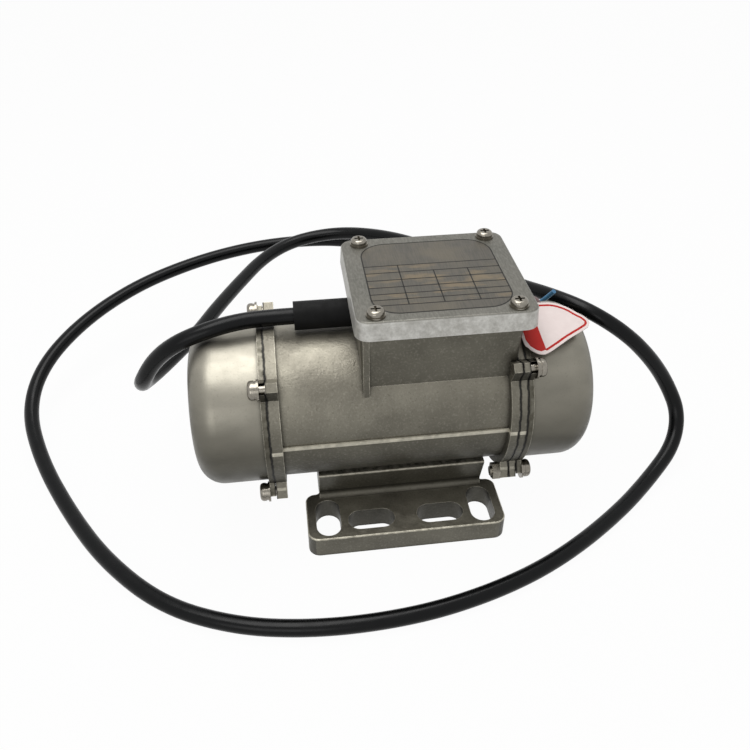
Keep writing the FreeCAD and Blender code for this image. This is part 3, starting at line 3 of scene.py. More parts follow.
import bmesh
import bpy
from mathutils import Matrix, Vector


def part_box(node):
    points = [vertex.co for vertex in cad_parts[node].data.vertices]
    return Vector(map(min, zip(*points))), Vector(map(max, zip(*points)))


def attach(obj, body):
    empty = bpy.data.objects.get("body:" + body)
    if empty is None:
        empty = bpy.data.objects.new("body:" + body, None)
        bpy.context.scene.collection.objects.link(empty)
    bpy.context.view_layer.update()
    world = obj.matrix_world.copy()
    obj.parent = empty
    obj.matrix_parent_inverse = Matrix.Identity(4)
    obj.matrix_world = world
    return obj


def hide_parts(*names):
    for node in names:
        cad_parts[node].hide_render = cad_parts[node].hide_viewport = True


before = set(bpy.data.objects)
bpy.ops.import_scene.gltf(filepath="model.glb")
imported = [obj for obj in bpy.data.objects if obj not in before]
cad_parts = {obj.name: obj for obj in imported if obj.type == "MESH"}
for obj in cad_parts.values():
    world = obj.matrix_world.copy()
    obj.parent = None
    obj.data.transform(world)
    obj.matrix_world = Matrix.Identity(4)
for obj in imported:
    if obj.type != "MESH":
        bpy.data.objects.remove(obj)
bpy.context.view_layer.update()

MM = 0.001
UP = Vector((0, 0, 1))

# The photo's camera, worked out from the object's edges
CAMERA_PLACE = Vector((-52.0, -317.2, 320.1)) * MM
CAMERA_TURN = (math.radians(52.29), 0, math.radians(-7.41))
CAMERA_LENS = 37.2
SENSOR_WIDTH = 36
NEAREST_SEEN = 10 * MM


def make_camera():
    data = bpy.data.cameras.new("photo_camera")
    data.lens = CAMERA_LENS
    data.sensor_width = SENSOR_WIDTH
    data.sensor_fit = "HORIZONTAL"
    data.clip_start = NEAREST_SEEN
    camera = bpy.data.objects.new("photo_camera", data)
    camera.location = CAMERA_PLACE
    camera.rotation_euler = CAMERA_TURN
    bpy.context.scene.collection.objects.link(camera)
    bpy.context.scene.camera = camera


# Places on the casting and covers that the materials go by; a pair of heights is a band
AXIS_MM = 62
AXIS_HEIGHT = AXIS_MM * MM
JOINTS = [x * MM for x in (-66.4, 55.4, 59.4)]
LEDGE_HEIGHT = (61.9 * MM, 64.1 * MM)
LEDGE_OUT = 39.75 * MM
WEB_EDGE = (31.0 * MM, 32.4 * MM)
WEB_ROOT = (12.05 * MM, 17 * MM)
WEB_ENDS = 44.5 * MM
FOOT_TOP = (11.9 * MM, 12.05 * MM)
FOOT_EDGE = (11.1 * MM, 11.97 * MM)
FOOT_INSIDE_X = 51.4 * MM
FOOT_INSIDE_Y = 54.4 * MM
FLANGE_FROM = 41.4 * MM
TABLE_ON_LID = (-19.9 * MM, 16.1 * MM)

# How far a face turns up: 1 is level and facing up, 0 upright, -1 underneath
LEVEL = 0.97
UPRIGHT = (-0.5, 0.5)
ROUNDED_EDGE = (0.2, 0.96)

# The black sealant in the joints: its grain, its waver, its reach, and the full part of that reach
GRIME_GRAIN = 4
GRIME_WAVER = 1.6 * MM
GRIME_REACH = 0.9 * MM
GRIME_CORE = 0.35

# Worn edges: the cosine of the turn from no wear to full wear, and how open the place is
EDGE_TURN = (0.99, 0.9)
EDGE_OPEN = (0.6, 0.9)
EDGE_CREVICE = 2
EDGE_RAYS = 4
CREVICE_RAYS = 6

# Noise stays almost wholly between these levels, about its middle
NOISE_SPREAD = (0.3, 0.7)
NOISE_MIDDLE = 0.5

# The Mix node's sockets for colours
MIX_FIRST = 6
MIX_SECOND = 7
MIX_RESULT = 2


def paint(red, green, blue):
    """A colour as seen on a screen, 0 to 255, as the shader wants it."""
    def straight(v):
        v /= 255
        return v / 12.92 if v <= 0.04045 else ((v + 0.055) / 1.055) ** 2.4
    return (straight(red), straight(green), straight(blue), 1)


class Surface:
    """A Principled material of noise layers in object space. Its lengths are given in millimetres."""

    def __init__(self, name, roughness, metallic=0.0, gloss=0.5):
        self.material = bpy.data.materials.new(name)
        self.material.use_nodes = True
        self.tree = self.material.node_tree
        self.shader = self.tree.nodes["Principled BSDF"]
        self.shader.inputs["Metallic"].default_value = metallic
        self.shader.inputs["Roughness"].default_value = roughness
        self.shader.inputs["Specular IOR Level"].default_value = gloss
        self.place = self.tree.nodes.new("ShaderNodeTexCoord").outputs["Object"]
        self.base = None
        self.last_bump = None

    def node(self, kind, **settings):
        made = self.tree.nodes.new(kind)
        for key, value in settings.items():
            setattr(made, key, value)
        return made

    def join(self, source, target):
        self.tree.links.new(source, target)

    def noise(self, grain, detail=3, rough=0.55, stretch=(1, 1, 1)):
        """Noise whose features are about grain across."""
        mapping = self.node("ShaderNodeMapping")
        mapping.inputs["Scale"].default_value = stretch
        self.join(self.place, mapping.inputs["Vector"])
        texture = self.node("ShaderNodeTexNoise")
        texture.inputs["Scale"].default_value = 1 / (grain * MM)
        texture.inputs["Detail"].default_value = detail
        texture.inputs["Roughness"].default_value = rough
        self.join(mapping.outputs["Vector"], texture.inputs["Vector"])
        return texture.outputs["Fac"]

    def remap(self, value, window, reach=(0, 1)):
        """Spreads the window over the reach. Values outside the window stay at the reach's ends."""
        spread = self.node("ShaderNodeMapRange")
        for socket, number in zip(("From Min", "From Max", "To Min", "To Max"), (*window, *reach)):
            spread.inputs[socket].default_value = number
        self.join(value, spread.inputs["Value"])
        return spread.outputs["Result"]

    def patches(self, grain, window, reach=(0, 1), **noise):
        """Soft patches: noise, spread as remap does."""
        return self.remap(self.noise(grain, **noise), window, reach)

    def mix(self, share, first, second):
        """The first colour where share is 0, and the second where it is 1."""
        blend = self.node("ShaderNodeMix", data_type="RGBA")
        self.join(share, blend.inputs["Factor"])
        for socket, colour in ((MIX_FIRST, first), (MIX_SECOND, second)):
            if isinstance(colour, tuple):
                blend.inputs[socket].default_value = colour
            else:
                self.join(colour, blend.inputs[socket])
        return blend.outputs[MIX_RESULT]

    def ground(self, share, first, second):
        """The colours under all the others."""
        self.base = self.mix(share, first, second)

    def over(self, share, colour, strength=1):
        """Lays a colour over what is there already; strength is how much of it shows at most."""
        if strength != 1:
            share = self.times(share, strength)
        self.base = self.mix(share, self.base, colour)

    def done(self):
        """Gives the shader the colours laid down, and returns the material."""
        self.join(self.base, self.shader.inputs["Base Color"])
        return self.material

    def uneven_gloss(self, grain, low, high, detail=3):
        """Roughness that wanders between low and high."""
        wander = self.patches(grain, NOISE_SPREAD, (low, high), detail=detail)
        self.join(wander, self.shader.inputs["Roughness"])

    def bump(self, height, depth, strength=1.0):
        """Adds a layer of bumps to those before it."""
        bump = self.node("ShaderNodeBump")
        bump.inputs["Strength"].default_value = strength
        bump.inputs["Distance"].default_value = depth * MM
        self.join(height, bump.inputs["Height"])
        if self.last_bump:
            self.join(self.last_bump, bump.inputs["Normal"])
        self.last_bump = bump.outputs["Normal"]
        self.join(self.last_bump, self.shader.inputs["Normal"])

    def maths(self, operation, first, second=None):
        step = self.node("ShaderNodeMath", operation=operation)
        for socket, value in zip(step.inputs, (first, second)):
            if isinstance(value, (int, float)):
                socket.default_value = value
            elif value is not None:
                self.join(value, socket)
        return step.outputs[0]

    def times(self, first, *others):
        for other in others:
            first = self.maths("MULTIPLY", first, other)
        return first

    def above(self, value, limit):
        return self.maths("GREATER_THAN", value, limit)

    def between(self, value, low, high):
        return self.times(self.above(value, low), self.maths("LESS_THAN", value, high))

    def part_of(self, axis, source=None):
        """One coordinate, in metres, or one part of a direction."""
        split = self.node("ShaderNodeSeparateXYZ")
        self.join(source or self.place, split.inputs["Vector"])
        return split.outputs[axis]

    def off_axis(self):
        """Distance from the shaft's axis, in metres."""
        y = self.part_of("Y")
        z = self.maths("SUBTRACT", self.part_of("Z"), AXIS_HEIGHT)
        return self.maths("SQRT", self.maths("ADD", self.times(y, y), self.times(z, z)))

    def normal(self):
        return self.node("ShaderNodeNewGeometry").outputs["Normal"]

    def upward(self):
        """1 where the surface faces up, 0 where it is upright, below 0 underneath."""
        return self.part_of("Z", self.normal())

    def crevices(self, distance):
        """1 on open surfaces and less in corners."""
        shade = self.node("ShaderNodeAmbientOcclusion", samples=CREVICE_RAYS)
        shade.inputs["Distance"].default_value = distance * MM
        return shade.outputs["AO"]

    def edges(self, radius):
        """1 on worn outer edges and 0 on flats."""
        soft = self.node("ShaderNodeBevel", samples=EDGE_RAYS)
        soft.inputs["Radius"].default_value = radius * MM
        turn = self.node("ShaderNodeVectorMath", operation="DOT_PRODUCT")
        self.join(soft.outputs["Normal"], turn.inputs[0])
        self.join(self.normal(), turn.inputs[1])
        sharp = self.remap(turn.outputs["Value"], EDGE_TURN)
        return self.times(sharp, self.remap(self.crevices(EDGE_CREVICE), EDGE_OPEN))

    def joint_grime(self):
        """Uneven black lines in the joints between the cast and pressed pieces."""
        sideways = self.maths("SUBTRACT", self.noise(GRIME_GRAIN, detail=4), NOISE_MIDDLE)
        waver = self.times(sideways, GRIME_WAVER)
        place = self.maths("ADD", self.part_of("X"), waver)
        found = 0
        for joint in JOINTS:
            gap = self.maths("ABSOLUTE", self.maths("SUBTRACT", place, joint))
            line = self.remap(gap, (GRIME_REACH, GRIME_REACH * GRIME_CORE))
            found = self.maths("MAXIMUM", line, found)
        return found


# The black sealant's colour, on the casting and the covers alike
SEALANT = paint(24, 23, 20)


def cast_stainless():
    """Investment-cast steel, blasted, with painted shade underneath, in its corners and about its foot,
    bright along its worn edges, with wear and painted highlight on its ledge and painted highlight on the
    web's top edge.
    """
    made = Surface("cast_stainless", roughness=0.45, metallic=0.7)
    dull, light = paint(116, 112, 101), paint(141, 137, 124)
    underside_shade, crevice_shade = paint(54, 53, 45), paint(44, 42, 35)
    pits, specks = paint(78, 75, 64), paint(164, 160, 148)
    x, z = made.part_of("X"), made.part_of("Z")
    y = made.maths("ABSOLUTE", made.part_of("Y"))
    up = made.upward()
    made.ground(made.patches(grain=20, window=(0.35, 0.68), detail=4), dull, light)
    # Painted shade: the casting grows darker as its faces turn from up to down.
    made.over(made.remap(up, window=(0.9, -0.75)), underside_shade)
    made.over(made.patches(grain=1.1, window=(0.42, 0.3), reach=(0, 0.45), rough=0.6), pits)
    made.over(made.patches(grain=1.2, window=(0.52, 0.75), reach=(0, 0.22)), specks)
    # Painted shade in corners and recesses, darker where less open space surrounds the surface.
    made.over(made.remap(made.crevices(distance=3), window=(0.75, 0.3)), crevice_shade)

    # Painted shade on the foot plate's level top, which lies under the barrel.
    foot_top_shade = made.times(made.between(z, *FOOT_TOP), made.above(up, LEVEL))
    made.over(foot_top_shade, paint(52, 50, 42), strength=0.15)
    # Painted shade on the upright walls of the foot's slots.
    slot_wall_shade = made.times(made.between(z, 0, FOOT_TOP[0]), made.between(up, *UPRIGHT),
                            made.between(x, -FOOT_INSIDE_X, FOOT_INSIDE_X),
                            made.maths("LESS_THAN", y, FOOT_INSIDE_Y))
    made.over(slot_wall_shade, paint(52, 51, 47), strength=0.6)
    # Painted shade at the root of the web, over its fillet to the foot.
    web_root_shade = made.times(made.between(z, *WEB_ROOT), made.between(x, -WEB_ENDS, WEB_ENDS))
    made.over(web_root_shade, paint(42, 40, 33), strength=0.6)

    # The ledge band: wear, and painted highlight where its flat faces catch the light.
    ledge_wear_and_highlight = made.times(made.between(z, *LEDGE_HEIGHT), made.above(y, LEDGE_OUT),
                       made.patches(grain=4, window=(0.3, 0.6), reach=(0.55, 1)))
    rim = made.times(made.between(z, *FOOT_EDGE), made.between(up, *ROUNDED_EDGE))
    # Painted highlight along the web's top edge, stronger where the band faces up.
    web_highlight = made.times(made.between(z, *WEB_EDGE), made.remap(up, window=(-0.6, 0.4), reach=(0.25, 0.6)))
    edges = made.maths("MAXIMUM", made.maths("MAXIMUM", rim, made.edges(radius=0.6)), web_highlight)
    scuffs = made.patches(grain=3, window=(0.35, 0.6), reach=(0.15, 0.85), detail=4, rough=0.7)
    # Wear along the edges and on the ledge, with painted highlight on the ledge and along the web's top
    # edge, all laid on in one pale colour.
    worn = made.maths("MAXIMUM", ledge_wear_and_highlight, made.times(edges, scuffs))
    made.over(worn, paint(200, 195, 179))
    made.over(made.joint_grime(), SEALANT)

    made.uneven_gloss(grain=5, low=0.36, high=0.52, detail=4)
    made.bump(made.noise(grain=1.3, rough=0.65), depth=0.22, strength=0.7)
    made.bump(made.noise(grain=7), depth=0.5, strength=0.45)
    return made.done()


def blasted_cover():
    """The covers: finer and smoother than the casting, dirty along their flanges, with painted shade
    underneath and in their corners.
    """
    made = Surface("pressed_stainless", roughness=0.4, metallic=0.8)
    dull, light = paint(126, 123, 113), paint(154, 150, 138)
    underside_shade, pits, crevice_shade = paint(74, 72, 64), paint(96, 93, 82), paint(50, 48, 41)
    made.ground(made.patches(grain=25, window=(0.35, 0.7), stretch=(0.5, 1, 1)), dull, light)
    # Painted shade: the cover grows darker as its faces turn from up to down.
    made.over(made.remap(made.upward(), window=(0.8, -0.35)), underside_shade)
    made.over(made.patches(grain=0.9, window=(0.42, 0.3), reach=(0, 0.25), rough=0.6), pits)
    # Painted shade in corners and recesses, darker where less open space surrounds the surface.
    made.over(made.remap(made.crevices(distance=3), window=(0.85, 0.3)), crevice_shade)
    dirt = made.times(made.above(made.off_axis(), FLANGE_FROM),
                      made.patches(grain=4, window=(0.35, 0.6), reach=(0.45, 0.9), detail=4))
    made.over(dirt, paint(70, 67, 57))
    worn = made.times(made.edges(radius=0.5), made.patches(grain=3, window=(0.35, 0.6), reach=(0.3, 0.9)))
    made.over(worn, paint(196, 191, 176))
    made.over(made.joint_grime(), SEALANT)
    made.uneven_gloss(grain=8, low=0.34, high=0.46, detail=4)
    made.bump(made.noise(grain=0.9, rough=0.6), depth=0.08, strength=0.6)
    made.bump(made.noise(grain=12, detail=2), depth=0.3, strength=0.25)
    return made.done()


def cast_aluminium():
    """The lid: grey cast alloy, paler on its sides and scuffed brighter along its edges."""
    made = Surface("cast_aluminium", roughness=0.45, metallic=0.55)
    top = made.mix(made.patches(grain=15, window=(0.35, 0.7), detail=4),
                   paint(88, 87, 80), paint(101, 99, 92))
    side = made.mix(made.patches(grain=4, window=(0.35, 0.65), detail=4, rough=0.7),
                    paint(168, 166, 160), paint(206, 205, 200))
    made.ground(made.remap(made.upward(), window=(0.35, 0.8)), side, top)
    fine = made.patches(grain=0.9, window=(0.4, 0.75), reach=(0, 0.3), detail=2, stretch=(1, 0.3, 1))
    made.over(fine, paint(150, 148, 141))
    scuffs = made.patches(grain=3, window=(0.35, 0.6), reach=(0.1, 0.8), detail=4, rough=0.7)
    made.over(made.times(made.edges(radius=0.9), scuffs), paint(204, 202, 196))
    made.uneven_gloss(grain=4, low=0.38, high=0.5, detail=4)
    made.bump(made.noise(grain=0.8), depth=0.05, strength=0.5)
    return made.done()


def rating_sheet():
    """The bare field inside the printed frame, brushed along the lid's short way."""
    made = Surface("rating_sheet", roughness=0.42, metallic=0.55)
    brushed = {"grain": 0.6, "detail": 2, "stretch": (1, 0.06, 1)}
    made.ground(made.patches(window=(0.35, 0.65), **brushed), paint(74, 72, 66), paint(86, 82, 75))
    made.over(made.patches(grain=18, window=(0.4, 0.7), reach=(0, 0.5)), paint(104, 97, 82))
    faded = made.patches(grain=6, window=(0.52, 0.66), reach=(0, 0.55), stretch=(0.35, 1, 1))
    made.over(made.times(faded, made.between(made.part_of("Y"), *TABLE_ON_LID)), paint(128, 112, 86))
    made.uneven_gloss(grain=3, low=0.36, high=0.48)
    made.bump(made.noise(**brushed), depth=0.01, strength=0.5)
    return made.done()


def gasket_rubber():
    made = Surface("nitrile_gasket", roughness=0.7)
    made.ground(made.noise(grain=3), paint(22, 22, 21), paint(38, 37, 34))
    made.bump(made.noise(grain=0.6), depth=0.05)
    return made.done()


def plated(name, low, high, roughness):
    """Bare or plated metal, a little uneven in colour and gloss."""
    made = Surface(name, roughness=roughness, metallic=1.0)
    made.ground(made.noise(grain=2), low, high)
    made.uneven_gloss(grain=1.2, low=roughness * 0.8, high=roughness * 1.4)
    made.bump(made.noise(grain=0.5), depth=0.02, strength=0.4)
    return made.done()


def plastic(name, low, high, roughness, gloss=0.5):
    """Moulded plastic or rubber with a faint texture."""
    made = Surface(name, roughness=roughness, gloss=gloss)
    made.ground(made.noise(grain=2), low, high)
    made.uneven_gloss(grain=6, low=roughness * 0.85, high=roughness * 1.15)
    made.bump(made.noise(grain=1), depth=0.04, strength=0.5)
    return made.done()


def cable_jacket():
    """Glossy black vinyl with long faint waves and dust."""
    made = Surface("cable_jacket", roughness=0.26, gloss=0.16)
    dust = made.patches(grain=5, window=(0.62, 0.8), reach=(0, 0.6), detail=5, rough=0.7)
    made.ground(dust, paint(5, 6, 7), paint(28, 28, 28))
    made.uneven_gloss(grain=8, low=0.2, high=0.34)
    made.bump(made.noise(grain=6, detail=2), depth=0.2, strength=0.25)
    return made.done()


def printed(name, low, high, grain, roughness, gloss):
    """Card, or the ink on it, with the card's fine tooth."""
    made = Surface(name, roughness=roughness, gloss=gloss)
    made.ground(made.noise(grain), low, high)
    made.bump(made.noise(grain=0.6), depth=0.02, strength=0.4)
    return made.done()


def dress(material, *nodes):
    """Gives CAD nodes their finish."""
    for node in nodes:
        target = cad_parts[node]
        target.data.materials.clear()
        target.data.materials.append(material)


# Cord routes, in millimetres, as chosen for the model
CABLE_ROUTE = [
    (-50.4, 4.4, 110.1), (-65, 4.4, 110.1), (-80, 1.6, 110.5), (-95, -1.6, 108.5), (-109, -1.5, 102.5),
    (-121, 2, 91), (-129.8, 6, 75.5), (-132.8, 19.5, 64), (-127, 36.5, 59), (-118.5, 54, 57.5),
    (-108, 73, 57.5), (-98, 98, 57.5), (-84, 129, 57), (-67, 162, 57), (-45, 181, 58.5),
    (-14, 183, 62), (15, 165, 67), (38, 138, 72), (60, 103, 77), (80, 66, 82), (96, 38, 89), (111, 20, 89),
    (130, 12, 78), (147, 10, 61), (160, 8, 43), (167, 0, 27), (161, -13, 14), (143, -28, 6.5),
    (117, -49, 4.4), (82, -72, 4.4), (50, -87, 4.4), (13, -97.5, 4.4), (-21, -101.5, 4.4),
    (-55, -101, 4.4), (-89, -95, 4.4), (-124, -79, 4.4), (-155, -48, 4.4), (-179, -12, 4.4),
    (-201, 28, 8), (-214, 65, 16), (-209, 96, 27), (-188, 129, 36), (-157, 159, 42), (-121, 181, 45),
    (-83, 197, 46), (-45, 204, 46), (-8, 199, 47), (22, 178, 49), (42, 146, 52), (53, 110, 58),
    (58, 76, 66)]
BLUE_ROUTE = [(59.58, 76.23, 66), (61.14, 65.63, 68.49), (66, 55.5, 71.5), (73.5, 46.5, 76),
              (81.5, 39.5, 81), (88, 35.5, 87.5), (92, 30.5, 97)]
BROWN_ROUTE = [(56.42, 75.77, 66), (58.12, 64.2, 68.72), (64.5, 50.5, 79.5), (73, 37, 91), (77, 25, 97.8),
               (76.5, 12, 104), (73.5, -2, 105.4), (70, -15, 102.4), (66.5, -25, 97.6)]
CABLE_DIAMETER = 8.4 * MM
CORE_DIAMETER = 2.6 * MM
STEPS_ALONG_CORD = 10
STEPS_ROUND_CORD = 6


def make_cord(name, node, route, diameter, material):
    curve = bpy.data.curves.new(name, "CURVE")
    curve.dimensions = "3D"
    spline = curve.splines.new("NURBS")
    spline.points.add(len(route) - 1)
    for point, place in zip(spline.points, route):
        point.co = (*(Vector(place) * MM), 1)
    spline.order_u = 3
    spline.use_endpoint_u = True
    spline.resolution_u = STEPS_ALONG_CORD
    curve.bevel_depth = diameter / 2
    curve.bevel_resolution = STEPS_ROUND_CORD
    curve.use_fill_caps = True
    curve.materials.append(material)
    piece = bpy.data.objects.new(name, curve)
    bpy.context.scene.collection.objects.link(piece)
    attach(piece, "housing")
    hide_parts(node)


def make_cords():
    jacket = cable_jacket()
    blue = plastic("blue_insulation", paint(46, 98, 138), paint(70, 128, 165), 0.35)
    brown = plastic("brown_insulation", paint(58, 20, 20), paint(78, 30, 28), 0.4)
    make_cord("supply_cable", "cable", CABLE_ROUTE, CABLE_DIAMETER, jacket)
    make_cord("blue_lead", "blue_core", BLUE_ROUTE, CORE_DIAMETER, blue)
    make_cord("brown_lead", "brown_core", BROWN_ROUTE, CORE_DIAMETER, brown)
    dress(jacket, "cable_entry")


def dress_metal():
    plating = plated("zinc_plated", paint(104, 100, 92), paint(156, 151, 141), 0.2)
    laminations = plated("lamination_steel", paint(96, 96, 98), paint(122, 122, 124), 0.4)
    ground = plated("shaft_steel", paint(160, 160, 160), paint(184, 184, 182), 0.25)
    bearing = plated("bearing_steel", paint(186, 187, 190), paint(212, 212, 214), 0.12)
    weight = plated("weight_steel", paint(128, 126, 120), paint(160, 157, 148), 0.38)
    copper = plated("copper_winding", paint(168, 88, 44), paint(196, 112, 62), 0.35)
    dress(cast_stainless(), "housing", "bearing_shield")
    dress(blasted_cover(), "left_cover", "right_cover")
    dress(cast_aluminium(), "terminal_lid", "rotor_end_rings")
    dress(plating, "left_cover_screws", "left_flat_washers", "left_spring_washers", "right_cover_screws",
          "right_flat_washers", "right_spring_washers", "cover_nuts", "lid_screws", "lid_washers",
          "inner_clamp_screws", "left_outer_clamp_screw", "right_outer_clamp_screw", "terminal_screws")
    dress(laminations, "stator_core", "rotor_core")
    dress(ground, "shaft", "weight_keys", "shaft_circlips")
    dress(bearing, "left_bearing_inner", "left_bearing_outer", "left_bearing_balls",
          "right_bearing_inner", "right_bearing_outer", "right_bearing_balls")
    dress(weight, "left_inner_weight", "left_outer_weight", "right_inner_weight", "right_outer_weight")
    dress(copper, "stator_windings")


def dress_rest():
    dress(gasket_rubber(), "left_cover_gasket", "shield_gasket", "right_cover_gasket", "lid_gasket")
    dress(plastic("sleeve_rubber", paint(9, 9, 9), paint(15, 15, 15), 0.62, gloss=0.12), "cable_sleeve")
    dress(plastic("terminal_plastic", paint(206, 202, 190), paint(220, 216, 206), 0.45), "terminal_block")
    dress(plastic("capacitor_can", paint(196, 196, 194), paint(210, 210, 208), 0.4), "run_capacitor")


def piece_from(made, name, material):
    """Turns the finished bmesh into a piece that rides on the housing."""
    bmesh.ops.recalc_face_normals(made, faces=made.faces)
    mesh = bpy.data.meshes.new(name)
    made.to_mesh(mesh)
    made.free()
    mesh.materials.append(material)
    piece = bpy.data.objects.new(name, mesh)
    bpy.context.scene.collection.objects.link(piece)
    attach(piece, "housing")
    return piece


def sheet_piece(name, points, thickness, material, out=UP):
    """A thin flat sheet inside a closed outline; out is the way its thickness goes."""
    made = bmesh.new()
    low = [made.verts.new(point) for point in points]
    high = [made.verts.new(point + out * thickness) for point in points]
    made.faces.new(list(reversed(low)))
    made.faces.new(high)
    count = len(points)
    for i in range(count):
        made.faces.new((low[i], low[(i + 1) % count], high[(i + 1) % count], high[i]))
    return piece_from(made, name, material)


def strip(made, sections, closed=False):
    """Joins sections, each a list of corners, into one long thin body, in the bmesh made."""
    count, corners = len(sections), len(sections[0])
    for i in range(count if closed else count - 1):
        one, two = sections[i], sections[(i + 1) % count]
        for j in range(corners):
            following = (j + 1) % corners
            made.faces.new((one[j], one[following], two[following], two[j]))
    if not closed:
        made.faces.new(sections[0])
        made.faces.new(list(reversed(sections[-1])))


def neighbours(points, i, closed):
    """The points before and after one, or the point itself at a line's ends."""
    before = points[i - 1] if closed or i else points[i]
    after = points[(i + 1) % len(points)] if closed or i < len(points) - 1 else points[i]
    return before, after


# The printed frame and table on the lid, measured from their middle
PLATE_MIDDLE = Vector((19.0, 6.3, 0)) * MM
PLATE_HALF_X = 33.4 * MM
PLATE_FRONT = -33.2 * MM
PLATE_BACK = 32.2 * MM
PLATE_CORNER = 13 * MM
PLATE_CORNER_STEPS = 10
PLATE_ROWS = [y * MM for y in (9.8, 3.1, -3.9, -10.5, -16.4, -21.4, -26.2)]
# Each column line's place, and the row that it starts from
PLATE_COLUMNS = [(-16.5 * MM, 0), (0.4 * MM, 1), (17.4 * MM, 1)]
LINE_WIDTH = 0.65 * MM
LINE_HEIGHT = 0.03 * MM
SHEET_HEIGHT = 0.05 * MM
CLEARANCE = 0.005 * MM


def printed_line(made, points, closed=False):
    """A flat line of even width through points at one height, in the bmesh made."""
    sections = []
    for i, point in enumerate(points):
        before, after = neighbours(points, i, closed)
        side = (after - before).normalized().cross(UP) * LINE_WIDTH / 2
        lift = UP * LINE_HEIGHT
        sections.append([made.verts.new(point + side), made.verts.new(point + side + lift),
                         made.verts.new(point - side + lift), made.verts.new(point - side)])
    strip(made, sections, closed)


def plate_outline():
    """The frame's outline with its rounded corners, around the plate's middle."""
    right, back = PLATE_HALF_X - PLATE_CORNER, PLATE_BACK - PLATE_CORNER
    left, front = -PLATE_HALF_X + PLATE_CORNER, PLATE_FRONT + PLATE_CORNER
    points = []
    for x, y, start in ((right, back, 0), (left, back, 90), (left, front, 180), (right, front, 270)):
        for step in range(PLATE_CORNER_STEPS + 1):
            angle = math.radians(start + 90 * step / PLATE_CORNER_STEPS)
            across, along = PLATE_CORNER * math.cos(angle), PLATE_CORNER * math.sin(angle)
            points.append(Vector((x + across, y + along, 0)))
    return points


def make_plate():
    lid_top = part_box("terminal_lid")[1][2]
    middle = PLATE_MIDDLE + UP * (lid_top + CLEARANCE)
    loop = [point + middle for point in plate_outline()]
    sheet_piece("rating_sheet", loop, SHEET_HEIGHT, rating_sheet())
    over_sheet = UP * (SHEET_HEIGHT + CLEARANCE)
    middle = middle + over_sheet
    made = bmesh.new()
    printed_line(made, [point + over_sheet for point in loop], closed=True)
    for y in PLATE_ROWS:
        reach = PLATE_HALF_X
        into_corner = PLATE_FRONT + PLATE_CORNER - y
        if into_corner > 0:
            reach -= PLATE_CORNER - math.sqrt(PLATE_CORNER ** 2 - into_corner ** 2)
        printed_line(made, [middle + Vector((-reach, y, 0)), middle + Vector((reach, y, 0))])
    for x, first in PLATE_COLUMNS:
        printed_line(made, [middle + Vector((x, y, 0)) for y in (PLATE_ROWS[first], PLATE_ROWS[-1])])
    ink = plastic("plate_ink", paint(30, 29, 27), paint(42, 41, 38), 0.55, gloss=0.2)
    piece_from(made, "plate_lines", ink)


# The tag in its card's own plane, in millimetres: along the shaft, and up the slope
TAG_TILT = math.radians(17)
TAG_OUT = Vector((0, -math.sin(TAG_TILT), math.cos(TAG_TILT)))
TAG_BACK = 45.0
TAG_CARD = 0.5
TAG_OUTLINE = [(59.6, 14.6), (66, 15), (72.7, 14.9), (78.5, 14.5), (83, 12.8), (86.9, 10.2), (90.2, 6.9),
               (92.8, 4.6), (94.5, 2.2), (94.8, -0.2), (93.6, -2.4), (91.4, -3.9), (88.6, -5.5),
               (82.1, -9), (75.6, -13.1), (69.6, -16.6), (66.6, -17.2), (63.6, -16), (60.6, -12.6),
               (59, -8)]
CURVE_STEPS = 4
INK_GAP = 0.01
INK_THICK = 0.03
RED_POINTS = 16
RED_INSET = 1.9
RED_WIDTH = 1.15
RED_FIELD = [(60.2, 0.4), (68.2, 0.4), (69.0, -14.6), (66.4, -15.4), (64.3, -14.5), (61.8, -11.8),
             (60.4, -8)]


def on_tag(u, v, lift=0.0):
    """A place on the back of the card, or lifted off it."""
    reach = TAG_BACK + lift
    return Vector((u, v * math.cos(TAG_TILT) - reach * math.sin(TAG_TILT),
                   AXIS_MM + v * math.sin(TAG_TILT) + reach * math.cos(TAG_TILT))) * MM


def rounded_through(points, closed=True):
    """A smooth line through the points (Catmull-Rom)."""
    count = len(points)
    smooth = []
    for i in range(count if closed else count - 1):
        places = range(i - 1, i + 3)
        if closed:
            around = [points[place % count] for place in places]
        else:
            around = [points[min(max(place, 0), count - 1)] for place in places]
        for step in range(CURVE_STEPS):
            t = step / CURVE_STEPS
            weights = (-t ** 3 + 2 * t ** 2 - t,
                       3 * t ** 3 - 5 * t ** 2 + 2,
                       -3 * t ** 3 + 4 * t ** 2 + t,
                       t ** 3 - t ** 2)
            smooth.append(tuple(sum(weight * point[axis] for weight, point in zip(weights, around)) / 2
                                for axis in (0, 1)))
    if not closed:
        smooth.append(points[-1])
    return smooth


def shifted(points, inset, closed=True):
    """The same line, moved sideways by inset, to the right as it runs."""
    moved = []
    for i, (u, v) in enumerate(points):
        before, after = neighbours(points, i, closed)
        run = Vector((after[0] - before[0], after[1] - before[1])).normalized()
        moved.append((u + run.y * inset, v - run.x * inset))
    return moved


